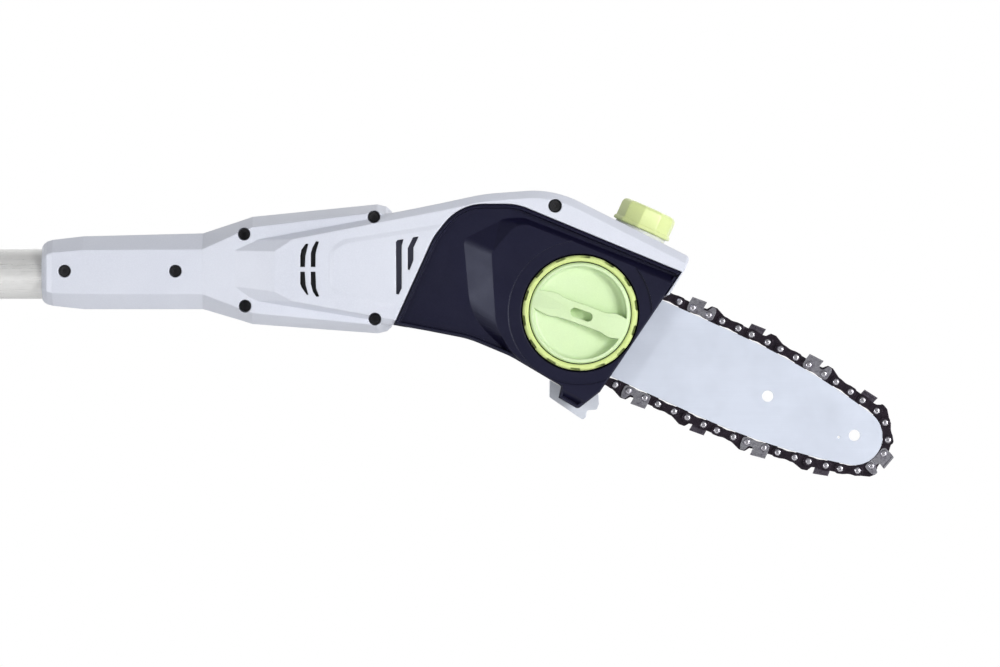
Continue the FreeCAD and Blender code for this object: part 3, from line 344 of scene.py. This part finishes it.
def moulded(name, colour, second, rough, grain=0.05, grain_scale=2.2, metallic=0.0, subsurface=0.0,
            edge=0.6, gloss=0.5, tint=(1, 1, 1)):
    """Moulded plastic: slight tone drift, fine spark texture and uneven gloss."""
    recipe = Recipe(name)
    drift = recipe.noise(0.018, 3, 0.6)
    speckle = recipe.noise(1.4, 2, 0.5)
    tone = recipe.mix(recipe.spread(drift, 0, 1, 0.35, 0.65), colour, second)
    light = tuple(min(1, value * 1.06 + 0.004) for value in colour)
    tone = recipe.mix(recipe.spread(speckle, 0, 0.5, 0.4, 0.75), tone, light)
    recipe.join(tone, recipe.shader.inputs["Base Color"])
    haze = recipe.noise(0.05, 4, 0.65)
    recipe.join(recipe.spread(haze, rough - 0.03, rough + 0.04), recipe.shader.inputs["Roughness"])
    fine = recipe.noise(grain_scale, 4, 0.6)
    soft = recipe.noise(0.06, 2, 0.5)
    recipe.bumps([(soft, 0.12, 0.25), (fine, grain, 0.5)], edge)
    recipe.set(Metallic=metallic, IOR=1.5, Specular_IOR_Level=gloss, Specular_Tint=(*tint, 1))
    if subsurface:
        recipe.set(Subsurface_Weight=subsurface, Subsurface_Scale=0.004, Subsurface_Radius=(1.0, 1.0, 0.5))
    return recipe.material


def drawn_metal(name, colour, second, rough, metallic, turn=(0, 0, 0), scale=1.2, depth=0.02):
    """Metal with fine lines along X, turned by a rotation."""
    along_lines = (0.02, 1, 1)
    recipe = Recipe(name)
    lines = recipe.noise(scale, 5, 0.7, stretch=(turn, along_lines))
    cloud = recipe.noise(0.03, 3, 0.6)
    tone = recipe.mix(recipe.spread(lines, 0, 1), colour, second)
    dark = tuple(value * 0.86 for value in colour)
    tone = recipe.mix(recipe.spread(cloud, 0, 0.6, 0.4, 0.75), tone, dark)
    recipe.join(tone, recipe.shader.inputs["Base Color"])
    recipe.join(recipe.spread(lines, rough - 0.06, rough + 0.08), recipe.shader.inputs["Roughness"])
    recipe.bumps([(lines, depth, 0.6)], 0.2)
    recipe.set(Metallic=metallic)
    return recipe.material


def steel(name, colour, oil, rough, metallic, edge=0.15):
    """Plain steel with an oily, blotchy surface."""
    recipe = Recipe(name)
    blotch = recipe.noise(0.35, 4, 0.65)
    tone = recipe.mix(recipe.spread(blotch, 0, 1, 0.35, 0.68), colour, oil)
    recipe.join(tone, recipe.shader.inputs["Base Color"])
    fine = recipe.noise(3.5, 3, 0.6)
    recipe.join(recipe.spread(blotch, rough - 0.08, rough + 0.12), recipe.shader.inputs["Roughness"])
    recipe.bumps([(fine, 0.03, 0.5), (blotch, 0.06, 0.25)], edge)
    recipe.set(Metallic=metallic)
    return recipe.material


SILVER = moulded("silver_nylon", (0.67, 0.695, 0.775), (0.64, 0.665, 0.75), 0.42,
                 grain=0.03, metallic=0.08, edge=1.1)
BUMPER = moulded("bumper_nylon", (0.64, 0.67, 0.74), (0.58, 0.61, 0.68), 0.38, grain=0.03, metallic=0.15)
BLACK = moulded("black_nylon", (0.006, 0.0055, 0.021), (0.005, 0.0045, 0.017), 0.36,
                grain=0.05, grain_scale=1.6, edge=0.8, gloss=0.36, tint=(0.75, 0.8, 1.0))
GREEN = moulded("green_knob", (0.62, 0.77, 0.47), (0.60, 0.755, 0.45), 0.34, grain=0.02, subsurface=0.12)
LIME = moulded("green_ring", (0.63, 0.74, 0.29), (0.60, 0.72, 0.27), 0.36, grain=0.02, subsurface=0.12)
CAP = moulded("green_cap", (0.70, 0.79, 0.36), (0.67, 0.77, 0.33), 0.30, grain=0.02, subsurface=0.15)
RUBBER = moulded("grip_rubber", (0.028, 0.028, 0.030), (0.020, 0.020, 0.022), 0.62,
                 grain=0.12, grain_scale=1.1)
DARK = moulded("inner_nylon", (0.05, 0.05, 0.055), (0.04, 0.04, 0.044), 0.5, grain=0.05)
TANK = moulded("tank_plastic", (0.70, 0.72, 0.66), (0.64, 0.66, 0.60), 0.4, grain=0.03, subsurface=0.3)
# Painted shade: dark blue-grey that stands in for the shaded inside of the head seen through the front air
# slots.
SLOT_SHADE = moulded("painted_slot_shade", (0.075, 0.075, 0.11), (0.06, 0.06, 0.09), 0.5, grain=0.05)
BOARD = moulded("circuit_board", (0.03, 0.16, 0.08), (0.02, 0.12, 0.06), 0.3, grain=0.02)
TUBE = drawn_metal("anodised_tube", (0.80, 0.80, 0.79), (0.88, 0.88, 0.87), 0.30, 0.5)
BAR = drawn_metal("bar_steel", (0.61, 0.655, 0.755), (0.64, 0.685, 0.785), 0.46, 0.4,
                  turn=(0, BAR_TILT, 0), scale=1.6, depth=0.006)
ZINC = steel("zinc_steel", (0.58, 0.59, 0.62), (0.48, 0.49, 0.52), 0.32, 1.0)
GEAR = steel("gear_steel", (0.36, 0.37, 0.39), (0.28, 0.28, 0.30), 0.36, 1.0)
ALLOY = steel("cast_alloy", (0.55, 0.56, 0.58), (0.47, 0.48, 0.50), 0.5, 1.0)
CHAIN = steel("chain_steel", (0.050, 0.038, 0.054), (0.012, 0.009, 0.014), 0.28, 0.8, edge=0.5)
CUTTER = steel("cutter_chrome", (0.52, 0.52, 0.57), (0.16, 0.15, 0.18), 0.30, 1.0)
CUTTER_DARK = steel("cutter_dark", (0.20, 0.18, 0.22), (0.05, 0.04, 0.06), 0.30, 0.9)
RIVET = steel("rivet_steel", (0.72, 0.71, 0.76), (0.50, 0.48, 0.54), 0.24, 1.0, edge=1.1)
SCREW = steel("screw_black", (0.006, 0.006, 0.008), (0.004, 0.004, 0.005), 0.5, 0.1)


# ------------------------------------------------------------------ saw head housing

NEAR_FACE = 36
FAR_FACE = 33
WALL = 2.4
POCKET_FLOOR = -12

# Octagonal sections of the neck and of the two arms that carry the screws:
# x, top, bottom, half width, top and bottom of the side flat, half width of the top flat.
ARM_SECTIONS = [
    (-0.9, 16.2, -15.9, 17.0, 8.4, -8.4, 6.5),
    (0.3, 17.8, -17.4, 18.8, 9.8, -9.8, 7.4),
    (2.2, 19.2, -18.6, 20.2, 11.2, -11.0, 8.2),
    (5.5, 20.2, -19.5, 21.2, 12.4, -11.9, 9),
    (24, 22.3, -21.5, 22.5, 14.0, -12.6, 10),
    (96, 24.1, -21.5, 23.0, 14.4, -12.6, 10),
    (118, 31.3, -28.0, 26.6, 24.4, -21.0, 13),
    (126, 34.0, -30.5, 28.0, 27.6, -24.0, 14),
    (201, 41.5, -36.1, 30.0, 36.4, -31.2, 16),
    (206.5, 40.2, -34.8, 29.0, 35.0, -30.0, 15),
    (209.5, 37.4, -32.0, 26.0, 31.0, -27.0, 13),
]
# Raised centre panel and the front of the head that it runs into: the foot of its sloping rim,
# the face inside the rim, the corner's radius and how far the foot lies behind the face.
FRONT_CORNERS = [
    ((103.5, 13.9), (139.7, 13.0), 0, 14.7), ((115.1, 19.7), (150.8, 20.4), 0, 12.9),
    ((195.8, 34), (196.4, 29.2), 0, 9.6), ((214, 36.8), (215.5, 32.8), 0, 4.8),
    ((239, 41.8), (239.6, 37.4), 120, 4.6), ((265, 47.4), (265.4, 43), 100, 4.6),
    ((307, 50.5), (306.4, 46), 60, 4.6), ((389.2, 9.4), (387.6, 5.2), 3, 4.6),
    ((376.4, -13), (375.8, -13), 0, 4.6), ((372, -14.5), (371, -14.5), 0, 4.6),
    ((333.2, -71.2), (329.6, -66.8), 0, 4.6), ((310.6, -66.8), (309.6, -62), 0, 4.6),
    ((280, -49.2), (278.2, -45), 60, 4.6), ((254, -38.4), (253, -34), 60, 4.6),
    ((206, -30.4), (206, -27.2), 0, 5.2), ((195, -28.9), (195, -25.0), 0, 9.6),
    ((115.9, -16.4), (150.8, -17.0), 0, 12.9), ((103.6, -6.4), (139.7, -11.2), 0, 14.7),
]
# Low step on the side wall between the two groups of air slots.
STEP_CORNERS = [
    (172.4, -10.5, 7), (172.4, 14.5, 7), (181, 20.2, 9), (262, 33, 6), (262, -31, 6), (188, -17.4, 9),
]
# Air slots in side view: four beside the motor and two behind the cover.
AIR_SLOTS = [
    [(155.1, 3.7), (157.9, 3.7), (158.2, 10.3), (159.9, 17.5), (158.4, 17.6), (155.7, 13.8), (155.1, 10.3)],
    [(161.4, 3.7), (164.2, 3.7), (164.3, 11.2), (164.8, 13.8), (166.3, 18.8), (164.5, 19.1), (162.4, 15.2),
     (161.4, 12.1)],
    [(155.1, 0.8), (157.8, 0.8), (158.4, -7.3), (160.0, -13.1), (158.8, -12.8), (155.9, -8.6), (155.1, -6.4)],
    [(161.4, 0.8), (164.2, 0.8), (164.6, -9.0), (166.5, -14), (164.7, -14.2), (162.7, -11.2), (161.4, -6.4)],
    [(212.4, 18.7), (213.4, 19.8), (217.0, 20.3), (215.9, 16.5), (215.9, -9.0), (214.1, -12.8),
     (212.6, -12.5)],
    [(219.5, 14.9), (222.6, 21.4), (226.0, 21.9), (222.9, 15.2), (222.9, 7.7), (220.6, 1.8), (219.5, 2.2)],
]
# Side view of the black cover, clockwise from its lower rear corner. The fourth corner ends the flat top
# and the fifth is the front tip.
COVER_CORNERS = [
    (211, -31), (234.6, 21.4, 34), (250.4, 41.6, 30), (285, 41.6, 34), (383.9, 0.7), (334.9, -71.5),
    (321.5, -81.9, 3), (309.5, -74.9), (311, -68), (281, -50.2, 60), (256, -39.8, 60),
]
# Housing screws: x, z, y of the recess's bottom, radius of the recess. The first screw goes into the tube's
# socket and has no boss.
SCREW_SPOTS = [
    (13.2, 1.3, -13, 3.8), (79.8, 1.3, -14, 3.8), (121.2, 23.5, -18, 3.8), (121.8, -19.7, -18, 3.8),
    (199.2, 33.7, -22, 3.8), (199.8, -27.5, -22, 3.8), (307.8, 40.3, -31, 4.1),
]


def arm_loops(wall):
    """Octagonal loops of the neck and arms, moved inwards by wall."""
    corner_share = 0.4
    corner = wall * corner_share
    loops = []
    for x, top, bottom, half, flat_top, flat_bottom, top_half in ARM_SECTIONS:
        upper = top - wall
        lower = bottom + wall
        side = half - wall
        ring = [
            (top_half - corner, upper), (side, flat_top - corner), (side, flat_bottom + corner),
            (top_half - corner, lower), (corner - top_half, lower), (-side, flat_bottom + corner),
            (-side, flat_top - corner), (corner - top_half, upper),
        ]
        loops.append([Vector((x, y, z)) for y, z in ring])
    return loops


def front_loop(inner, wall, y_face):
    """One loop of the front solid, at its face or at the foot of the rim, moved inwards by wall."""
    outward = 1 if y_face > 0 else -1
    corners = []
    depths = []
    for foot, face, radius, depth in FRONT_CORNERS:
        place = face if inner else foot
        corners.append((*place, radius) if radius else place)
        depths += [0 if inner else depth] * (CORNER_PIECES + 1 if radius else 1)
    outline = ring_of(corners, -wall)
    return [Vector((p[0], y_face - outward * depth, p[1])) for p, depth in zip(outline, depths)]


def front_solid(wall):
    """Raised centre panel and front of the head, with a sloping rim on both sides."""
    near = wall - NEAR_FACE
    far = FAR_FACE - wall
    return loft("front", [front_loop(True, wall, near), front_loop(False, wall, near),
                          front_loop(False, wall, far), front_loop(True, wall, far)])


def housing_body(name, wall):
    """Outside of the whole housing, or its inside when wall is more than 0."""
    arms = loft(name, arm_loops(wall))
    return combine(arms, [front_solid(wall)], "UNION")


def half_region(side):
    """Box that holds all of the head on one side of the split plane."""
    reach = 300
    y_from, y_to = (-reach, 0) if side < 0 else (0, reach)
    return prism("half", [(-50, -200), (500, -200), (500, 200), (-50, 200)], y_from, y_to)


def side_step(side):
    """Low step that stands out of one side wall."""
    height = 0.7
    face = -NEAR_FACE if side < 0 else FAR_FACE
    return stacked("step", STEP_CORNERS, [(3.7, face - side), (-2.6, face + side * height)])


def housing_cavity(side):
    """Hollow of one half, less the screw bosses and, in the near half, the wall of the cover's pocket."""
    boss_radius = 5.4
    boss_reach = 70
    pocket_wall = 2.6
    cavity = housing_body("cavity", WALL)
    kept = []
    for x, z, *_ in SCREW_SPOTS[1:]:
        kept.append(cylinder("boss", Vector((x, 0, z)), ACROSS, boss_radius, -boss_reach, boss_reach))
    if side < 0:
        outline = ring_of(COVER_CORNERS, WALL)
        kept.append(prism("pocket_wall", outline, -FAR_CLEAR, POCKET_FLOOR + pocket_wall))
    return combine(cavity, kept)


def vent_tools(side):
    """Cutters of the air slots in one side wall."""
    inner = 14
    reach = (-CLEAR, -inner) if side < 0 else (inner, CLEAR)
    return [prism("slot", outline, *reach) for outline in AIR_SLOTS]


def near_tools():
    """Cutters of the near half only: the cover's pocket, screw recesses, shaft hole and stud hole."""
    shaft_hole = 5
    stud_hole = 4.1
    tools = [prism("pocket", rounded(COVER_CORNERS), -FAR_CLEAR, POCKET_FLOOR)]
    for x, z, bottom, radius in SCREW_SPOTS:
        tools.append(cylinder("recess", Vector((x, 0, z)), ACROSS, radius, -FAR_CLEAR, bottom))
    tools.append(cylinder("shaft_hole", DRIVE, ACROSS, shaft_hole, -30, 0))
    tools.append(cylinder("stud_hole", KNOB, ACROSS, stud_hole, -30, 0))
    return tools


def housing_half(name, side):
    """One half of the housing as a hollow shell with its recesses, slots and bosses."""
    socket_radius = 15.3
    socket_depth = 62
    neck_radius = 13.1
    crease = 5
    step = side_step(side)
    shell = combine(housing_body(name, 0), [step], "UNION")
    combine(shell, [half_region(side)], "INTERSECT")
    combine(shell, [housing_cavity(side)])
    tools = vent_tools(side)
    tools.append(cylinder("socket", Vector((0, 0, 0)), ALONG_POLE, socket_radius, -20, socket_depth))
    tools.append(cylinder("neck_hole", FILLER_FOOT, FILLER_AXIS, neck_radius, -30, 30))
    if side < 0:
        tools += near_tools()
    combine(shell, tools)
    return shade(cleaned(shell), crease)


def shade_plates_behind_slots():
    """Dark plates behind the air slots that close the view through them, as painted shade for the inside of
    the head.
    """
    thickness = 1
    motor_wall = [(150, -17), (150, 21), (170, 21), (170, -17)]
    front_wall = [(209, -15), (209, 23), (230, 23), (213.5, -15)]
    # Painted shade: dark plates put behind the slots, where the inside of the head lies in shade.
    for name, outline, y, material in (
            ("painted_shade_near_rear", motor_wall, -29, DARK), ("painted_shade_near_front", front_wall, -32.6, SLOT_SHADE),
            ("painted_shade_far_rear", motor_wall, 28, DARK), ("painted_shade_far_front", front_wall, 28.6, SLOT_SHADE)):
        shade_plate = prism(name, outline, y, y + thickness)
        finish_piece(shade(shade_plate), "head", "inner_plastic", material)


def front_screw_head():
    """Chamfered head in the front recess, with a round dimple."""
    x, z, *_ = SCREW_SPOTS[-1]
    profile = [(0.01, 31.6), (3.95, 31.6), (3.95, 33.2), (3.2, 33.8), (1.6, 33.8), (1.4, 33.0), (0.01, 33.0)]
    head = spun("front_screw_head", profile, Vector((x, 0, z)), TO_COVER, 48)
    finish_piece(shade(head), "head", "zinc_steel", SCREW)


def build_housing():
    """Both housing halves with the painted-shade plates behind the air slots and the front screw's head."""
    near = housing_half("housing_near_shell", -1)
    finish_piece(near, "head", "housing_grey", SILVER, "housing_near")
    far = housing_half("housing_far_shell", 1)
    finish_piece(far, "head", "housing_grey", SILVER, "housing_far")
    shade_plates_behind_slots()
    front_screw_head()


# ------------------------------------------------------------------ side cover

# Raised face and the foot of the slope round it, as far as they lie on the cover. Past the cover's edge both
# run on and are trimmed.
FACE_CORNERS = [
    (269.8, 12, 5), (283, 27.5, 10), (290, 29.6, 12), (380.6, -7.5, 2), (381.5, -4), (400, 10), (420, -60),
    (350, -110), (330, -90), (325, -76.2), (312.6, -69.6), (281, -46.5, 8), (272.4, -32, 24),
]
FACE_FOOT_CORNERS = [
    (252.2, 20.6, 5), (277, 33, 12), (289, 33.4, 14), (383, -3.2, 2), (384, 0), (404, 14), (424, -60),
    (350, -118), (326, -96), (323, -81), (308, -74), (276, -44.5, 12), (256.5, -26, 40),
]
TRAY_Y = -32.4
WELL_RADIUS = 35.5
WELL_FLOOR = -24


def cover_plate():
    """Body of the cover with a bead round a lower tray, and the bead's end groove at the front tip."""
    body = stacked("side_cover_shell", COVER_CORNERS, [(-0.35, POCKET_FLOOR), (-0.35, -34.9), (-1.6, -36.3)])
    tray = stacked("tray", COVER_CORNERS, [(-2.9, TRAY_Y), (-1.7, -40)])
    top_end = Vector(COVER_CORNERS[3][:2])
    tip = Vector(COVER_CORNERS[4])
    slope = (tip - top_end).normalized()
    rise = Vector((-slope.y, slope.x))
    groove = [tip + slope * u + rise * v for u, v in ((-9, -2.7), (5, -2.7), (5, -4.4), (-9, -4.4))]
    return combine(body, [tray, prism("groove_end", groove, -CLEAR, TRAY_Y)])


def raised_face():
    """Face that stands out of the tray, with its slope, trimmed to the cover's outline."""
    foot = rounded(FACE_FOOT_CORNERS)
    raised = loft("face", [at_y(foot, -29), at_y(foot, -32.2), at_y(rounded(FACE_CORNERS), -38)])
    trim = prism("trim", ring_of(COVER_CORNERS, -1.2), -CLEAR, 0)
    return combine(raised, [trim], "INTERSECT")


def cover_hollow():
    """Space under the cover, less the wall round the ring's well."""
    side_wall = 3.0
    ceiling = -30.2
    well_side = 2.5
    well_bottom = 2.2
    cavity = prism("cavity", ring_of(COVER_CORNERS, -side_wall), ceiling, 0)
    outside = WELL_RADIUS + well_side
    well_wall = cylinder("well_wall", KNOB, ACROSS, outside, -CLEAR, WELL_FLOOR + well_bottom, 96)
    return combine(cavity, [well_wall])


def chain_exit():
    """Opening at the front where the bar and the chain come out."""
    along = Vector((math.cos(BAR_TILT), -math.sin(BAR_TILT)))
    across = Vector((math.sin(BAR_TILT), math.cos(BAR_TILT)))
    start = Vector((DRIVE.x, DRIVE.z))
    corners = [start + along * u + across * v for u, v in ((60, 40), (60, -60), (150, -60), (150, 40))]
    return prism("exit", corners, -21.6, 5)


def side_cover():
    """Black cover: bead round the edge, sloped band, raised face and a well for the ring."""
    crease = 6
    bore_radius = 9
    body = cover_plate()
    combine(body, [raised_face()], "UNION")
    combine(body, [cover_hollow()])
    flat_round_well = [(0.01, -CLEAR), (43.5, -CLEAR), (43.1, -36.9), (0.01, -36.9)]
    combine(body, [
        chain_exit(),
        spun("halo", flat_round_well, KNOB, ACROSS),
        cylinder("well", KNOB, ACROSS, WELL_RADIUS, -CLEAR, WELL_FLOOR, 96),
        cylinder("bore", KNOB, ACROSS, bore_radius, -CLEAR, 0),
    ])
    shade(cleaned(body), crease)
    finish_piece(body, "head", "cover_black", BLACK, "side_cover")


# ------------------------------------------------------------------ knob

def ring_notch(angle):
    """Cutter of one notch in the ring's outer edge."""
    reach = 35.0
    floor_y = -33
    corners = rounded([(-3.0, -1.9, 0.8), (3.0, -1.9, 0.8), (3.6, 1.9), (-3.6, 1.9)])
    spot = KNOB + Vector((math.cos(angle), 0, math.sin(angle))) * reach
    turn = Matrix.Rotation(math.pi / 2 - angle, 3, "Y")
    loops = [[spot + turn @ Vector((p[0], y, p[1])) for p in corners] for y in (-50, floor_y)]
    return loft("notch", loops)


def tension_ring():
    """Toothed ring round the lock knob."""
    notch_count = 14
    first_notch = 0.3
    profile = [
        (30.9, 24.4), (34.0, 24.4), (34.5, 25.2), (34.5, 37.0), (33.9, 38.3), (33.0, 38.9), (31.6, 38.9),
        (30.9, 38.3),
    ]
    ring = spun("tension_ring_body", profile, KNOB, TO_COVER, 144)
    step = 2 * math.pi / notch_count
    combine(ring, [ring_notch(step * (index + first_notch)) for index in range(notch_count)])
    shade(cleaned(ring))
    finish_piece(ring, "tension_ring", "knob_green", LIME, "tension_ring")


def smooth_line(points, pieces=5):
    """Catmull-Rom line through points."""
    ends = [points[0]] + list(points) + [points[-1]]
    result = []
    for index in range(1, len(ends) - 2):
        p0, p1, p2, p3 = (Vector(p) for p in ends[index - 1:index + 3])
        for piece in range(pieces):
            t = piece / pieces
            result.append(0.5 * (2 * p1 + (p2 - p0) * t + (2 * p0 - 5 * p1 + 4 * p2 - p3) * t * t
                                 + (3 * p1 - p0 - 3 * p2 + p3) * t ** 3))
    result.append(Vector(points[-1]))
    return result


# Upper and lower edge of the knob's finger bar, from the knob's middle.
FINGER_TOP = [
    (-31, 14.2), (-22.6, 13.4), (-14.6, 12.1), (-8.1, 8.6), (6.9, 3.2), (15.4, 0.0), (21, -0.4), (26, -2.6),
    (31, -6),
]
FINGER_LOW = [
    (31, -16.6), (24, -15.6), (17, -14.4), (11.1, -11.0), (-6, -4.7), (-13.5, -2.3), (-18.3, -1.6),
    (-24, 1.0), (-31, 5.2),
]
KNOB_TOP = 39.1


def knob_dish():
    """Cutter of the dish in the knob's face: deeper to the right and below, with a rounded rim."""
    reach = 27.9
    start_y = -46
    fillet = 2.4
    least_depth = 1.7
    fall_right = 2.9
    fall_down = 0.5
    rim = circle(0, 0, 1, 96)
    dish = [[KNOB + Vector((reach * p[0], start_y, reach * p[1])) for p in rim]]
    for turn in range(0, 91, 15):
        inset = fillet * (1 - math.cos(math.radians(turn)))
        sink = fillet * (1 - math.sin(math.radians(turn)))
        lowest = 0.02 * turn / 15
        loop = []
        for point in rim:
            deep = least_depth + fall_right * (point[0] + 1) + fall_down * (1 - point[1])
            loop.append(KNOB + Vector(((reach - inset) * point[0], max(deep - sink, lowest) - KNOB_TOP,
                                       (reach - inset) * point[1])))
        dish.append(loop)
    return loft("bowl", dish)


def finger_bar():
    """Waved bar that is left standing across the dish, wider at its foot."""
    edge = smooth_line(FINGER_TOP) + smooth_line(FINGER_LOW)
    edge = [(p.x + KNOB.x, p.y + KNOB.z) for p in edge]
    return loft("finger", [at_y(edge, -CLEAR), at_y(edge, -38.4), at_y(grown(edge, 0.9), -20)])


def finger_slot():
    """Cutter of the round-ended slot in the finger bar."""
    tilt = Matrix.Rotation(math.radians(19), 3, "Y")
    middle = KNOB + Vector((0.7, 0, -1.0))
    outline = rounded([(-6.9, -2.75, 2.6), (6.9, -2.75, 2.6), (6.9, 2.75, 2.6), (-6.9, 2.75, 2.6)])
    return loft("slot", [[middle + tilt @ Vector((p[0], y, p[1])) for p in outline] for y in (-CLEAR, -32.5)])


def lock_knob():
    """Knob with a raised rim, a dish and a waved finger bar across it."""
    profile = [
        (0.01, 25.0), (28.8, 25.0), (30.3, 26.2), (30.3, 37.6), (29.5, 38.9), (28.9, KNOB_TOP),
        (0.01, KNOB_TOP),
    ]
    body = spun("lock_knob_body", profile, KNOB, TO_COVER, 120)
    bowl = combine(knob_dish(), [finger_bar()])
    combine(body, [bowl])
    nut_bore = cylinder("nut_bore", KNOB, TO_COVER, 6.6, 20, 31.1)
    combine(body, [finger_slot(), nut_bore])
    shade(cleaned(body))
    finish_piece(body, "lock_knob", "knob_green", GREEN, "lock_knob")


# ------------------------------------------------------------------ oil cap

# Growth of the cap's outline at each height over the filler's foot, from its lower rim to its top.
CAP_STEPS = [
    (-0.6, 1.5), (0.5, 1.9), (0.7, 2.7), (0.4, 3.6), (-0.3, 4.4), (-0.3, 12.6), (-0.8, 14.2), (-1.8, 15.2),
    (-3.2, 15.7),
]


def oil_cap():
    """Faceted cap with rounded rims."""
    spin = upright_to(FILLER_AXIS)
    facets = 10
    first_facet = 0.25
    radius = 17.9
    corner_radius = 1.6
    crease = 20
    corners = []
    for index in range(facets):
        angle = 2 * math.pi * (index + first_facet) / facets
        corners.append((radius * math.cos(angle), radius * math.sin(angle), corner_radius))
    loops = []
    for growth, height in CAP_STEPS:
        loops.append([FILLER_FOOT + spin @ Vector((p[0], p[1], height)) for p in ring_of(corners, growth)])
    cap = loft("oil_cap_body", loops)
    skirt = cylinder("skirt", FILLER_FOOT, FILLER_AXIS, 13.6, -5, 9.6)
    dimple = cylinder("dimple", FILLER_FOOT, FILLER_AXIS, 10.5, 14.9, 20)
    combine(cap, [skirt, dimple])
    shade(cleaned(cap), crease)
    finish_piece(cap, "oil_cap", "knob_green", CAP, "oil_cap")


def filler_collar():
    """Pale collar under the cap."""
    profile = [(13.15, -3.5), (16.2, -3.5), (16.2, 1.2), (15.8, 1.6), (13.15, 1.6)]
    collar = spun("filler_collar", profile, FILLER_FOOT, FILLER_AXIS)
    finish_piece(shade(collar), "head", "tank_plastic", TANK)


# ------------------------------------------------------------------ CAD nodes that stay

def dress(material, *names):
    """Give CAD nodes a material."""
    for name in names:
        NODES[name].data.materials.clear()
        NODES[name].data.materials.append(material)


def dress_cad():
    """Materials of the CAD pieces that are shown as they are."""
    dress(TUBE, "upper_tube", "lower_tube")
    dress(BAR, "guide_bar")
    dress(CHAIN, "chain_drive_links", "chain_tie_straps")
    dress(CUTTER, "chain_left_cutters")
    dress(CUTTER_DARK, "chain_right_cutters")
    dress(RIVET, "chain_rivets")
    dress(ZINC, "sprocket_clip", "tension_pin", "bar_stud", "knob_nut", "shaft_bearings", "bumper_screws",
          "motor_can", "clamp_bolt", "clamp_pin", "trigger_pin", "hanging_eye", "trigger_spring")
    dress(GEAR, "motor_rotor", "drive_pinion", "sprocket_shaft", "bevel_gear", "drive_sprocket")
    dress(ALLOY, "bearing_plate", "bearing_bracket", "motor_end_cap")
    dress(DARK, "cooling_fan", "guide_bush", "front_bush", "oil_pump", "switch_body", "terminal_block")
    dress(BOARD, "control_board")
    dress(TANK, "oil_tank", "filler_neck")
    dress(RUBBER, "oil_tube", "cap_gasket", "mid_grip")
    dress(SCREW, "housing_screws", "handle_screws")
    dress(BUMPER, "branch_bumper")
    dress(SILVER, "handle_near", "handle_far")
    dress(BLACK, "clamp_collar", "strap_clip", "battery_pack")
    dress(LIME, "clamp_lever", "trigger", "lock_off_button", "battery_latch")


# ------------------------------------------------------------------ stage

def studio_world():
    """White surroundings behind the tool that fall off to grey on all other sides."""
    world = bpy.data.worlds.new("studio")
    bpy.context.scene.world = world
    world.use_nodes = True
    tree = world.node_tree
    place = tree.nodes.new("ShaderNodeTexCoord")
    split = tree.nodes.new("ShaderNodeSeparateXYZ")
    tree.links.new(place.outputs["Generated"], split.inputs["Vector"])
    fade = tree.nodes.new("ShaderNodeMapRange")
    fade.interpolation_type = "SMOOTHSTEP"
    for socket, value in (("From Min", -0.2), ("From Max", 0.8), ("To Min", 0.27), ("To Max", 1.0)):
        fade.inputs[socket].default_value = value
    tree.links.new(split.outputs["Y"], fade.inputs["Value"])
    tree.links.new(fade.outputs["Result"], tree.nodes["Background"].inputs["Strength"])
    tree.nodes["Background"].inputs["Color"].default_value = (1, 1, 1, 1)


def light(name, place, aim, power, size_m):
    """Area light that looks at a point. Places and sizes are in metres."""
    data = bpy.data.lights.new(name, "AREA")
    data.energy = power
    data.shape = "RECTANGLE"
    data.size = size_m[0]
    data.size_y = size_m[1]
    thing = bpy.data.objects.new(name, data)
    thing.location = place
    thing.rotation_euler = (Vector(aim) - Vector(place)).to_track_quat("-Z", "Y").to_euler()
    bpy.context.scene.collection.objects.link(thing)


def pale_floor():
    """Round pale floor under the whole length of the tool."""
    pole_middle = Vector((-310, 0, 0))
    radius = 2300
    top = -480
    thickness = 40
    disc = [pole_middle + p.to_3d() for p in circle(0, 0, radius, 128)]
    floor = loft("floor", [at_z(disc, top), at_z(disc, top - thickness)])
    recipe = Recipe("floor_paper")
    cloud = recipe.noise(0.004, 3, 0.5)
    recipe.join(recipe.mix(recipe.spread(cloud, 0, 1), (0.86, 0.86, 0.86), (0.90, 0.90, 0.90)),
                recipe.shader.inputs["Base Color"])
    recipe.bumps([(recipe.noise(0.3, 3), 0.05, 0.2)])
    recipe.set(Roughness=0.9)
    floor.data.materials.append(recipe.material)


def side_camera():
    """Long lens that looks straight at the cover's side. Places and sizes are in metres."""
    distance = 5.0
    cover_plane = -0.028
    middle_x = 0.2748
    middle_z = -0.0362
    picture_width = 0.600
    sensor_mm = 36
    data = bpy.data.cameras.new("camera")
    camera = bpy.data.objects.new("camera", data)
    data.sensor_width = sensor_mm
    data.lens = sensor_mm * distance / picture_width
    data.clip_end = 200
    camera.location = (middle_x, cover_plane - distance, middle_z)
    camera.rotation_euler = (math.pi / 2, 0, 0)
    bpy.context.scene.collection.objects.link(camera)
    bpy.context.scene.camera = camera
    bpy.context.scene.view_settings.view_transform = "Standard"


def stage():
    """Pale floor, pale surroundings, soft lights and the camera."""
    head_middle = (0.25, 0, 0)
    pale_floor()
    studio_world()
    light("key", (1.85, -1.75, 0.2), head_middle, 42, (0.9, 1.1))
    light("side", (-1.25, -1.75, 0.05), head_middle, 11, (0.22, 0.8))
    light("back", (0.6, 2.2, 0.9), (0.1, 0, 0), 5, (1.8, 1.0))
    side_camera()


stage()
build_housing()
side_cover()
tension_ring()
lock_knob()
oil_cap()
filler_collar()
dress_cad()
